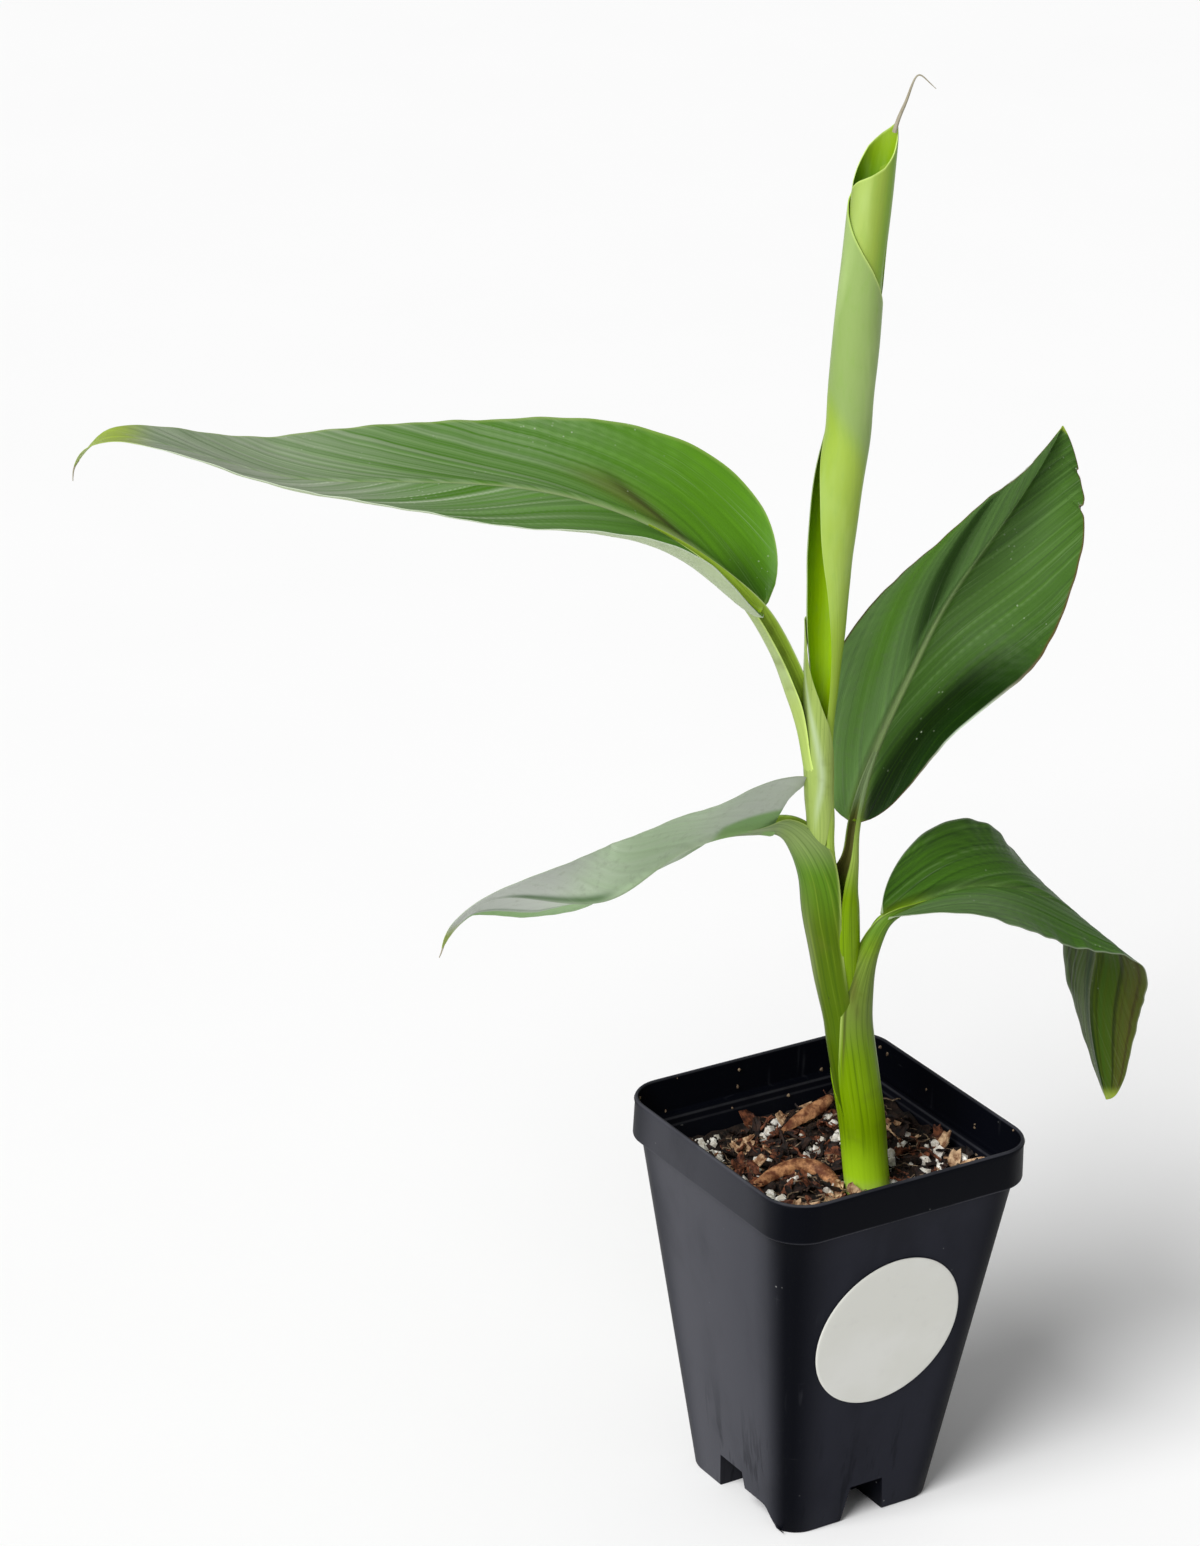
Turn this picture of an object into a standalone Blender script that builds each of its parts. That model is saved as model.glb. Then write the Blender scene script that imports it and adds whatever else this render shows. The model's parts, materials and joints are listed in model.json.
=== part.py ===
"""A young banana plant in a square nursery pot, in metres with +Z up.

The pot stands on z = 0 with the centre of its underside at the origin and its sides along X and Y.
The plant is set out in a frame of its own that is turned about Z: its first number runs to the
plant's right, its second to the back and its third up. Angles are in degrees.
"""

import math
from typing import NamedTuple

import bmesh
import bpy
import numpy as np
from mathutils import Matrix

GAP = 0.0003  # between pieces that touch
PLANT_TURN = math.radians(-33.0)  # the plant's own frame, about Z

# Pot
POT_HEIGHT = 0.1358
RIM_HALF = 0.0500  # half the width over the rim band
BAND_HEIGHT = 0.0142
BODY_TOP_HALF = 0.0475  # half the width under the rim band
BASE_HALF = 0.0305
RIM_CORNER = 0.0140
BODY_TOP_CORNER = 0.0125
BASE_CORNER = 0.0100
WALL = 0.0014
FLOOR = 0.0020
CORNER_STEPS = 5
WALL_SLOPE = (BODY_TOP_HALF - BASE_HALF) / (POT_HEIGHT - BAND_HEIGHT)

# Drain notches, one in the foot of each side
NOTCH_FOOT_HALF = 0.0087
NOTCH_TOP_HALF = 0.0064
NOTCH_HEIGHT = 0.0136
NOTCH_DEPTH = 0.0150

# Sloping recess beside the notch, under the -X side and, turned half round, under the +X side
RECESS_START = 0.0060
RECESS_FLAT_END = 0.0180
RECESS_END = 0.0270
RECESS_HEIGHT = 0.0075
RECESS_DEPTH = 0.0190

# Label on the -Y side
LABEL_RADIUS = 0.0280
LABEL_THICKNESS = 0.0005
LABEL_CENTRE_X = -0.0020
LABEL_CENTRE_Z = 0.0765

SOIL_TOP = 0.1132

CUT_REACH = 0.0100  # how far a cutter passes beyond the wall
CUT_BELOW = 0.0010  # and below the foot

# Blades
BLADE_THICKNESS = 0.0012
BLADE_TIP_THICKNESS = 0.0005
BLADE_EDGE_SHARE = 0.01  # half width at the very tip, as a share of the widest
BASE_ROUNDING = 1.6
ROWS = 22
COLUMNS = 5  # on each side of the midrib
LEAF_4_BEND = 0.59  # where the arching leaf is split, as a share of its length

LIMB_SIDES = 14
LABEL_SIDES = 48
RECESS_STEPS = 9
CURVE_STEPS = 400
FRAME_STEPS = 49
KNOT_POWER = 0.75  # how far the gaps between points set the pace of a curve


class Leaf(NamedTuple):
    """One blade: its midrib, its outline, and how its two halves are turned along the midrib."""

    rib: tuple  # points along the midrib
    face: tuple  # the way the upper side faces at the foot
    left: float  # half widths at the widest place
    right: float
    widest: float  # where that is, as a share of the length
    rise: float  # fuller foot with a larger number
    taper: float  # finer tip with a larger number
    foot: float  # half width at the foot, as a share of the widest
    roll: tuple  # turn about the midrib, at even steps from foot to tip
    fold: tuple  # how far both halves are lifted
    curl: tuple  # how far each half bends down from midrib to margin


LEAVES = {
    "leaf_1": Leaf(
        rib=(
            (-0.0300, -0.0180, 0.3190),
            (-0.0560, -0.0200, 0.3420),
            (-0.0830, -0.0245, 0.3555),
            (-0.1090, -0.0295, 0.3620),
            (-0.1455, -0.0365, 0.3645),
            (-0.1770, -0.0435, 0.3675),
            (-0.2105, -0.0505, 0.3785),
            (-0.2310, -0.0520, 0.3800),
            (-0.2390, -0.0490, 0.3705),
        ),
        face=(0.0, 0.0, 1.0),
        left=0.0390,
        right=0.0400,
        widest=0.30,
        rise=3.2,
        taper=0.86,
        foot=0.10,
        roll=(22, 7, 2, -3, -8, -5),
        fold=(28, 21, 6, 9, 7, 5),
        curl=(-60, -50, -48, -34, -22, -14),
    ),
    "leaf_2": Leaf(
        rib=(
            (0.0033, 0.0005, 0.2410),
            (0.0080, 0.0120, 0.2565),
            (0.0195, 0.0230, 0.2825),
            (0.0300, 0.0280, 0.3050),
            (0.0440, 0.0300, 0.3280),
            (0.0575, 0.0320, 0.3510),
            (0.0630, 0.0230, 0.3685),
        ),
        face=(-0.5, -0.6, 0.6),
        left=0.0330,
        right=0.0390,
        widest=0.53,
        rise=1.8,
        taper=0.84,
        foot=0.06,
        roll=(-16, -22, -45, -53, -65),
        fold=(16, 39, 42, 48, 45),
        curl=(-4, -10, -29, -35, -14),
    ),
    "leaf_3": Leaf(
        rib=(
            (-0.0208, -0.0090, 0.2412),
            (-0.0308, -0.0142, 0.2442),
            (-0.0490, -0.0240, 0.2425),
            (-0.0615, -0.0355, 0.2380),
            (-0.0745, -0.0470, 0.2330),
            (-0.0930, -0.0555, 0.2355),
            (-0.1085, -0.0605, 0.2380),
            (-0.1175, -0.0650, 0.2350),
            (-0.1255, -0.0620, 0.2210),
        ),
        face=(0.0, 0.0, 1.0),
        left=0.0250,
        right=0.0240,
        widest=0.30,
        rise=3.2,
        taper=1.03,
        foot=0.50,
        roll=(-45, -44, -49, -54, -46, -38),
        fold=(29, 5, 14, 20, -6, 11),
        curl=(15, 13, 20, 15, 10, 1),
    ),
    "leaf_4": Leaf(
        rib=(
            (0.0140, -0.0090, 0.2120),
            (0.0360, 0.0070, 0.2155),
            (0.0550, 0.0190, 0.2120),
            (0.0770, 0.0345, 0.1975),
            (0.0880, 0.0420, 0.1825),
            (0.0880, 0.0455, 0.1645),
            (0.0910, 0.0470, 0.1395),
            (0.0960, 0.0470, 0.1215),
        ),
        face=(0.0, 0.0, 1.0),
        left=0.0235,
        right=0.0255,
        widest=0.27,
        rise=1.7,
        taper=0.50,
        foot=0.06,
        roll=(-23, -29, -22, 0, 8, -2),
        fold=(43, 22, 0, 0, 24, 23),
        curl=(-27, -8, 6, 7, -6, -12),
    ),
}


class Limb(NamedTuple):
    """A stem or stalk: points along its middle, each with its half width across the plant."""

    stations: tuple
    flat: float  # thickness from front to back, as a share of the width
    rings: int


LIMBS = {
    "pseudostem": Limb(
        stations=(
            (0.0136, -0.0070, 0.1135, 0.0075),
            (0.0106, -0.0080, 0.1382, 0.0077),
            (0.0068, -0.0090, 0.1593, 0.0079),
            (0.0038, -0.0100, 0.1763, 0.0079),
            (0.0009, -0.0105, 0.1928, 0.0083),
            (-0.0018, -0.0105, 0.2051, 0.0084),
            (-0.0035, -0.0105, 0.2181, 0.0091),
            (-0.0050, -0.0105, 0.2320, 0.0095),
        ),
        flat=0.88,
        rings=14,
    ),
    "leaf_stalk_1": Limb(
        stations=(
            (-0.0076, -0.0105, 0.2326, 0.0056),
            (-0.0080, -0.0105, 0.2475, 0.0045),
            (-0.0087, -0.0105, 0.2545, 0.0044),
            (-0.0096, -0.0105, 0.2647, 0.0048),
            (-0.0120, -0.0108, 0.2780, 0.0049),
            (-0.0158, -0.0114, 0.2870, 0.0043),
            (-0.0188, -0.0120, 0.2926, 0.0037),
            (-0.0230, -0.0135, 0.3020, 0.0038),
            (-0.0277, -0.0160, 0.3120, 0.0041),
            (-0.0298, -0.0178, 0.3180, 0.0038),
        ),
        flat=0.95,
        rings=16,
    ),
    "leaf_stalk_2": Limb(
        stations=(
            (0.0020, -0.0070, 0.2220, 0.0026),
            (0.0026, -0.0045, 0.2315, 0.0024),
            (0.0028, -0.0018, 0.2372, 0.0022),
            (0.0030, -0.0004, 0.2396, 0.0021),
        ),
        flat=1.0,
        rings=8,
    ),
    "leaf_stalk_3": Limb(
        stations=(
            (-0.0079, -0.0115, 0.2180, 0.0052),
            (-0.0118, -0.0112, 0.2300, 0.0058),
            (-0.0146, -0.0105, 0.2368, 0.0050),
            (-0.0172, -0.0098, 0.2396, 0.0043),
            (-0.0198, -0.0091, 0.2408, 0.0040),
        ),
        flat=0.95,
        rings=10,
    ),
    "leaf_stalk_4": Limb(
        stations=(
            (0.0079, -0.0100, 0.1800, 0.0042),
            (0.0080, -0.0100, 0.1900, 0.0043),
            (0.0086, -0.0100, 0.1965, 0.0040),
            (0.0099, -0.0095, 0.2028, 0.0034),
            (0.0122, -0.0092, 0.2085, 0.0028),
            (0.0137, -0.0091, 0.2112, 0.0024),
        ),
        flat=1.0,
        rings=12,
    ),
    "rolled_leaf": Limb(
        stations=(
            (-0.0096, -0.0100, 0.2800, 0.0043),
            (-0.0095, -0.0100, 0.2901, 0.0046),
            (-0.0097, -0.0100, 0.3133, 0.0060),
            (-0.0094, -0.0095, 0.3311, 0.0069),
            (-0.0087, -0.0090, 0.3485, 0.0077),
            (-0.0064, -0.0085, 0.3745, 0.0074),
            (-0.0046, -0.0075, 0.4045, 0.0071),
            (-0.0029, -0.0060, 0.4365, 0.0067),
            (-0.0015, -0.0055, 0.4561, 0.0064),
            (0.0013, -0.0050, 0.4663, 0.0039),
            (0.0045, -0.0050, 0.4745, 0.0007),
            (0.0066, -0.0050, 0.4791, 0.0005),
            (0.0082, -0.0050, 0.4844, 0.0004),
            (0.0100, -0.0050, 0.4876, 0.0004),
            (0.0127, -0.0050, 0.4856, 0.0003),
            (0.0154, -0.0050, 0.4834, 0.0003),
        ),
        flat=0.95,
        rings=34,
    ),
}

# Which limbs are cut away where they meet, first limb by the others
CUT_BY = {
    "leaf_stalk_2": ("pseudostem", "leaf_stalk_1"),
    "leaf_stalk_3": ("pseudostem", "leaf_stalk_1"),
    "leaf_stalk_4": ("pseudostem",),
    "rolled_leaf": ("leaf_stalk_1",),
}

# name: colour, roughness
FINISHES = {
    "pot_plastic": ((0.020, 0.021, 0.026), 0.42),
    "potting_mix": ((0.055, 0.030, 0.018), 0.95),
    "label_paper": ((0.74, 0.74, 0.70), 0.55),
    "stem_skin": ((0.21, 0.34, 0.03), 0.45),
    "leaf_skin": ((0.05, 0.16, 0.03), 0.42),
    "new_leaf_skin": ((0.30, 0.48, 0.11), 0.45),
}


def clear_scene():
    for obj in list(bpy.data.objects):
        bpy.data.objects.remove(obj, do_unlink=True)


def material(name):
    colour, roughness = FINISHES[name]
    made = bpy.data.materials.get(name) or bpy.data.materials.new(name)
    made.use_nodes = True
    shader = made.node_tree.nodes["Principled BSDF"]
    shader.inputs["Base Color"].default_value = (*colour, 1.0)
    shader.inputs["Roughness"].default_value = roughness
    return made


def add_object(name, mesh, finish=None, parent=None):
    """Links the mesh as an object; with no finish it is a helper that cuts or joins."""
    obj = bpy.data.objects.new(name, mesh)
    bpy.context.scene.collection.objects.link(obj)
    obj.parent = parent
    if finish:
        mesh.materials.append(material(finish))
    else:
        obj.hide_render = True
        obj.display_type = "WIRE"
    return obj


def boolean(obj, other, operation):
    modifier = obj.modifiers.new(f"{operation.lower()}_{other.name}", "BOOLEAN")
    modifier.operation = operation
    modifier.object = other


def mesh_from(name, points, faces):
    mesh = bpy.data.meshes.new(name)
    mesh.from_pydata([tuple(point) for point in points], [], faces)
    model = bmesh.new()
    model.from_mesh(mesh)
    bmesh.ops.recalc_face_normals(model, faces=model.faces)
    model.to_mesh(mesh)
    model.free()
    return mesh


def loft(name, rings):
    """A closed skin through rings of the same number of points."""
    rings = np.asarray(rings)
    count, sides = rings.shape[:2]
    faces = [tuple(range(sides)), tuple((count - 1) * sides + i for i in range(sides))]
    for ring in range(count - 1):
        for i in range(sides):
            j = (i + 1) % sides
            low, high = ring * sides, (ring + 1) * sides
            faces.append((low + i, low + j, high + j, high + i))
    return mesh_from(name, rings.reshape(-1, 3), faces)


def cubic(knots, values, at):
    """A natural cubic curve through values at knots, read at the places in at."""
    knots = np.asarray(knots, float)
    values = np.asarray(values, float)
    last = len(knots) - 1
    step = np.diff(knots)
    system = np.eye(last + 1)
    bends = np.zeros_like(values)
    for i in range(1, last):
        system[i, i - 1 : i + 2] = step[i - 1], 2 * (step[i - 1] + step[i]), step[i]
        ahead = (values[i + 1] - values[i]) / step[i]
        behind = (values[i] - values[i - 1]) / step[i - 1]
        bends[i] = 6 * (ahead - behind)
    bends = np.linalg.solve(system, bends)
    k = np.clip(np.searchsorted(knots, at, side="right") - 1, 0, last - 1)
    shape = (-1,) + (1,) * (values.ndim - 1)
    x = (at - knots[k]).reshape(shape)
    h = step[k].reshape(shape)
    slope = (values[k + 1] - values[k]) / h - h * (2 * bends[k] + bends[k + 1]) / 6
    third = (bends[k + 1] - bends[k]) / (6 * h)
    return values[k] + x * (slope + x * (bends[k] / 2 + x * third))


def even_curve(points, shares):
    """Points on a smooth curve through the given ones, at shares of its length. Extra columns ride along."""
    points = np.asarray(points, float)
    gaps = np.linalg.norm(np.diff(points[:, :3], axis=0), axis=1)
    knots = np.concatenate([[0.0], np.cumsum(gaps**KNOT_POWER)])
    fine = cubic(knots, points, np.linspace(0.0, knots[-1], CURVE_STEPS))
    run = np.concatenate([[0.0], np.cumsum(np.linalg.norm(np.diff(fine[:, :3], axis=0), axis=1))])
    at = np.asarray(shares) * run[-1]
    return np.stack([np.interp(at, run, column) for column in fine.T], axis=1)


def carried_frame(path, face):
    """Along a path: its direction, the face direction carried along without twist, and the right."""
    ahead = np.gradient(path, axis=0)
    ahead /= np.linalg.norm(ahead, axis=1)[:, None]
    up = np.empty_like(ahead)
    carried = np.asarray(face, float)
    for i, direction in enumerate(ahead):
        carried = carried - direction * (carried @ direction)
        carried /= np.linalg.norm(carried)
        up[i] = carried
    return ahead, up, np.cross(ahead, up)


def outline(leaf, shares):
    """Half width along the blade, as a share of the widest: a rounded foot and a tapering tip."""
    below = np.clip((leaf.widest - shares) / leaf.widest, 0, 1)
    beyond = np.clip((shares - leaf.widest) / (1 - leaf.widest), 0, 1)
    rise = (1 - below**leaf.rise) ** (1 / BASE_ROUNDING)
    fall = np.maximum(np.cos(beyond * math.pi / 2), 0) ** leaf.taper
    foot = leaf.foot + (1 - leaf.foot) * rise
    tip = BLADE_EDGE_SHARE + (1 - BLADE_EDGE_SHARE) * fall
    return np.where(shares < leaf.widest, foot, tip)


def blade_grid(leaf, shares, columns):
    """Rows of points across the blade, from its left margin over the midrib to its right margin."""
    steps = np.linspace(0.0, 1.0, FRAME_STEPS)
    path = even_curve(leaf.rib, steps)
    _, up, right = carried_frame(path, leaf.face)
    path, up, right = (
        np.stack([np.interp(shares, steps, column) for column in values.T], axis=1)
        for values in (path, up, right)
    )
    roll, fold, curl = (
        np.radians(cubic(np.linspace(0, 1, len(turns)), turns, shares))[:, None]
        for turns in (leaf.roll, leaf.fold, leaf.curl)
    )
    lifted = np.cos(roll) * up - np.sin(roll) * right
    across = np.cos(roll) * right + np.sin(roll) * up
    width = outline(leaf, shares)[:, None]
    halves = []
    for side, widest in ((-1, leaf.left), (1, leaf.right)):
        place = path
        half = []
        for column in range(columns):
            angle = fold + curl * (0.5 - (column + 0.5) / columns)
            reach = width * widest / columns
            place = place + reach * (np.cos(angle) * side * across + np.sin(angle) * lifted)
            half.append(place)
        halves.append(half)
    return np.stack(halves[0][::-1] + [path] + halves[1], axis=1)


def thin_solid(name, grid, thickness):
    """A closed solid on both sides of a grid of points; thickness has one number for each row."""
    along = np.gradient(grid, axis=0)
    across = np.gradient(grid, axis=1)
    normal = np.cross(along, across)
    normal /= np.linalg.norm(normal, axis=2)[..., None]
    offset = normal * (np.asarray(thickness)[:, None, None] / 2)
    rows, columns = grid.shape[:2]
    points = np.concatenate([(grid + offset).reshape(-1, 3), (grid - offset).reshape(-1, 3)])
    under = rows * columns

    def at(row, column, side):
        return side * under + row * columns + column

    faces = []
    for row in range(rows - 1):
        for column in range(columns - 1):
            corners = ((row, column), (row, column + 1), (row + 1, column + 1), (row + 1, column))
            faces.append(tuple(at(r, c, 0) for r, c in corners))
            faces.append(tuple(at(r, c, 1) for r, c in reversed(corners)))
    edge = [(0, c) for c in range(columns)]
    edge += [(r, columns - 1) for r in range(1, rows)]
    edge += [(rows - 1, c) for c in range(columns - 2, -1, -1)]
    edge += [(r, 0) for r in range(rows - 2, 0, -1)]
    for (r, c), (r2, c2) in zip(edge, edge[1:] + edge[:1]):
        faces.append((at(r, c, 0), at(r2, c2, 0), at(r2, c2, 1), at(r, c, 1)))
    return mesh_from(name, points, faces)


def blade(name, leaf, start, end, parent):
    shares = np.linspace(start, end, max(4, round(ROWS * (end - start))) + 1)
    thickness = BLADE_THICKNESS + (BLADE_TIP_THICKNESS - BLADE_THICKNESS) * shares**4
    mesh = thin_solid(name, blade_grid(leaf, shares, COLUMNS), thickness)
    add_object(name, mesh, "leaf_skin", parent)


def limb_mesh(name, limb, extra=0.0):
    """A limb's skin, its half width grown by extra; the foot of the stem is cut level."""
    stations = even_curve(limb.stations, np.linspace(0.0, 1.0, limb.rings + 1))
    path, radius = stations[:, :3], stations[:, 3] + extra
    ahead, right, front = carried_frame(path, (1.0, 0.0, 0.0))
    angles = np.linspace(0.0, 2 * math.pi, LIMB_SIDES, endpoint=False)[None, :, None]
    swing = right[:, None] * np.cos(angles) + front[:, None] * np.sin(angles) * limb.flat
    rings = path[:, None] + swing * radius[:, None, None]
    if name == "pseudostem":
        rings[0, :, 2] = path[0, 2]
    return loft(name, rings)


def rounded_square(half, corner, z):
    """A square loop with rounded corners, starting on the +X side of the +X +Y corner."""
    points = []
    reach = half - corner
    for sx, sy, start in ((1, 1, 0), (-1, 1, 1), (-1, -1, 2), (1, -1, 3)):
        for step in range(CORNER_STEPS + 1):
            angle = (start + step / CORNER_STEPS) * math.pi / 2
            points.append((sx * reach + corner * math.cos(angle), sy * reach + corner * math.sin(angle), z))
    return points


def body_half(z):
    return BASE_HALF + WALL_SLOPE * z


def body_corner(z):
    return BASE_CORNER + (BODY_TOP_CORNER - BASE_CORNER) * z / (POT_HEIGHT - BAND_HEIGHT)


def body_ring(z, inset):
    return rounded_square(body_half(z) - inset, body_corner(z) - inset, z)


def tunnel(name, grow, offset, low):
    """The space of the drain notch in the -Y side, grown by grow, starting offset inside the wall's face."""
    foot, top, height = NOTCH_FOOT_HALF + grow, NOTCH_TOP_HALF + grow, NOTCH_HEIGHT + grow
    corners = ((-foot, low), (foot, low), (top, height), (-top, height))
    outer = [(x, offset - body_half(z), z) for x, z in corners]
    inner = [(x, NOTCH_DEPTH + grow - BASE_HALF, z) for x, z in corners]
    return add_object(name, loft(name, (outer, inner)))


def slope(name, grow, offset, low):
    """The sloping space under the -Y side, beside its notch, made the same way."""
    pitch = RECESS_HEIGHT / RECESS_DEPTH
    sections = []
    for x in np.linspace(RECESS_START - grow, RECESS_END + grow, RECESS_STEPS):
        fade = np.clip((x - RECESS_FLAT_END) / (RECESS_END - RECESS_FLAT_END), 0, 1)
        height = RECESS_HEIGHT * (0.5 + 0.5 * math.cos(math.pi * fade)) + grow
        wall = -body_half(height)
        outer = offset + wall
        peak = height + pitch * (wall - outer)
        inner = wall + (height - low) / pitch
        sections.append([(x, outer, low), (x, outer, peak), (x, inner, low)])
    return add_object(name, loft(name, sections))


def pot_spaces(purpose, grow, offset, low):
    """Every notch and recess of the pot, turned to its side."""
    found = []
    for quarter in range(4):
        shape = tunnel(f"notch_{purpose}_{quarter}", grow, offset, low)
        shape.rotation_euler.z = quarter * math.pi / 2
        found.append(shape)
    for quarter in (-1, 1):
        shape = slope(f"recess_{purpose}_{quarter}", grow, offset, low)
        shape.rotation_euler.z = quarter * math.pi / 2
        found.append(shape)
    return found


def make_pot():
    step = POT_HEIGHT - BAND_HEIGHT
    outer = (
        body_ring(0.0, 0.0),
        body_ring(step, 0.0),
        rounded_square(RIM_HALF, RIM_CORNER, step),
        rounded_square(RIM_HALF, RIM_CORNER, POT_HEIGHT),
    )
    ledge = step + WALL
    hollow = (
        body_ring(FLOOR, WALL),
        body_ring(ledge, WALL),
        rounded_square(RIM_HALF - WALL, RIM_CORNER - WALL, ledge),
        rounded_square(RIM_HALF - WALL, RIM_CORNER - WALL, POT_HEIGHT + WALL),
    )
    pot = add_object("pot", loft("pot", outer), "pot_plastic")
    boolean(pot, add_object("pot_hollow", loft("pot_hollow", hollow)), "DIFFERENCE")
    for shape in pot_spaces("hood", WALL, WALL / 2, FLOOR / 2):
        boolean(pot, shape, "UNION")
    for shape in pot_spaces("space", 0.0, -CUT_REACH, -CUT_BELOW):
        boolean(pot, shape, "DIFFERENCE")


def make_soil():
    inset = WALL + GAP
    rings = (body_ring(FLOOR + GAP, inset), body_ring(SOIL_TOP, inset))
    soil = add_object("soil", loft("soil", rings), "potting_mix")
    for shape in pot_spaces("clearance", WALL + GAP, 0.0, 0.0):
        boolean(soil, shape, "DIFFERENCE")


def make_label():
    lean = math.atan(WALL_SLOPE)
    outward = Matrix.Rotation(math.pi / 2 + lean, 4, "X")
    normal = outward.col[2].to_3d()
    foot = Matrix.Translation((LABEL_CENTRE_X, -body_half(LABEL_CENTRE_Z), LABEL_CENTRE_Z))
    lift = Matrix.Translation(normal * (GAP + LABEL_THICKNESS / 2))
    model = bmesh.new()
    bmesh.ops.create_cone(
        model,
        cap_ends=True,
        segments=LABEL_SIDES,
        radius1=LABEL_RADIUS,
        radius2=LABEL_RADIUS,
        depth=LABEL_THICKNESS,
        matrix=foot @ lift @ outward,
    )
    mesh = bpy.data.meshes.new("label")
    model.to_mesh(mesh)
    model.free()
    add_object("label", mesh, "label_paper")


def make_limbs(plant):
    """Every stem and stalk, each cut back by GAP from the ones it grows out of."""
    limbs = {}
    for name, limb in LIMBS.items():
        finish = "new_leaf_skin" if name == "rolled_leaf" else "stem_skin"
        limbs[name] = add_object(name, limb_mesh(name, limb), finish, plant)
    for cutter in ("pseudostem", "leaf_stalk_1"):
        helper = add_object(f"{cutter}_clearance", limb_mesh(cutter, LIMBS[cutter], GAP), parent=plant)
        for name, cutters in CUT_BY.items():
            if cutter in cutters:
                boolean(limbs[name], helper, "DIFFERENCE")


def make_blades(plant):
    for name, leaf in LEAVES.items():
        end = LEAF_4_BEND if name == "leaf_4" else 1.0
        blade(name, leaf, 0.0, end, plant)
    blade("leaf_4_tip", LEAVES["leaf_4"], LEAF_4_BEND + 0.004, 1.0, plant)


def main():
    clear_scene()
    plant = bpy.data.objects.new("plant_axis", None)
    plant.rotation_euler.z = PLANT_TURN
    bpy.context.scene.collection.objects.link(plant)
    make_pot()
    make_soil()
    make_label()
    make_limbs(plant)
    make_blades(plant)


main()
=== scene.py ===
"""A young banana plant in a square nursery pot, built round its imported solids. Metres, +Z up.

Blades, sheaths and stalks are set out in millimetres in a frame turned about Z: the first number
runs to the plant's right, the second to the back and the third up. Angles are in degrees.
"""

import json
import math
from types import SimpleNamespace
from typing import NamedTuple

import bmesh
import bpy
import numpy as np
from mathutils import Matrix, Vector

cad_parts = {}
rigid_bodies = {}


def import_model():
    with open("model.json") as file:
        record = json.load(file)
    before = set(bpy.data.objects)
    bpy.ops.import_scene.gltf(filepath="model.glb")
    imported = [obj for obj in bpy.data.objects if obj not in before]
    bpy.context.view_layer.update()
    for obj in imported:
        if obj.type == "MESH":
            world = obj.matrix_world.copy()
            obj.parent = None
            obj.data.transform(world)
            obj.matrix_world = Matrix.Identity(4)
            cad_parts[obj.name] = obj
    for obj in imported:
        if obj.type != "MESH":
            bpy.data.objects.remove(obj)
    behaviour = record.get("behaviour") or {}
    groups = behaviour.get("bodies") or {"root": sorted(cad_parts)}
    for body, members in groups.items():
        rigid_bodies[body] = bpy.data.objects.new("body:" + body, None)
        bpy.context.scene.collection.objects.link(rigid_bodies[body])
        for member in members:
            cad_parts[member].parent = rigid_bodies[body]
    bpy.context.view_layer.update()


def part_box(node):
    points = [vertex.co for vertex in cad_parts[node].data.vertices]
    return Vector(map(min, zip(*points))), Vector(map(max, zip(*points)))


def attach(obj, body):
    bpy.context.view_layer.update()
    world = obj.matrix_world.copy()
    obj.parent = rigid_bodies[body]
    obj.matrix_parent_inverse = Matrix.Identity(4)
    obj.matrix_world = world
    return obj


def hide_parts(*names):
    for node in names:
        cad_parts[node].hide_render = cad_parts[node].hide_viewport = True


bl_info = {
    "name": "Potted Banana Plant",
    "version": (1, 0, 0),
    "blender": (4, 5, 0),
    "location": "View3D > Sidebar > Plant",
    "description": "Builds a young banana plant in a square nursery pot",
    "category": "Add Mesh",
}

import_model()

MM = 0.001
BODY = "root"

POT_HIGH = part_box("pot")[1]
POT_HEIGHT = POT_HIGH.z
RIM_HALF = POT_HIGH.x
SOIL_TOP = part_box("soil")[1].z

BAND_HEIGHT = 0.0142
STEP_HEIGHT = POT_HEIGHT - BAND_HEIGHT  # where the rim's band starts

PLANT_TURN = -33.0  # the plant's own frame, about Z


# ---------------------------------------------------------------- properties


def colour(name, value, description):
    return bpy.props.FloatVectorProperty(
        name=name, description=description, subtype="COLOR", size=3, min=0.0, max=1.0, default=value
    )


def length(name, value, description):
    return bpy.props.FloatProperty(
        name=name, description=description, unit="LENGTH", subtype="DISTANCE", min=0.0, default=value
    )


def count(name, value, description):
    return bpy.props.IntProperty(name=name, description=description, min=0, default=value)


def number(name, value, description):
    return bpy.props.FloatProperty(name=name, description=description, min=0.0, default=value)


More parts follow.
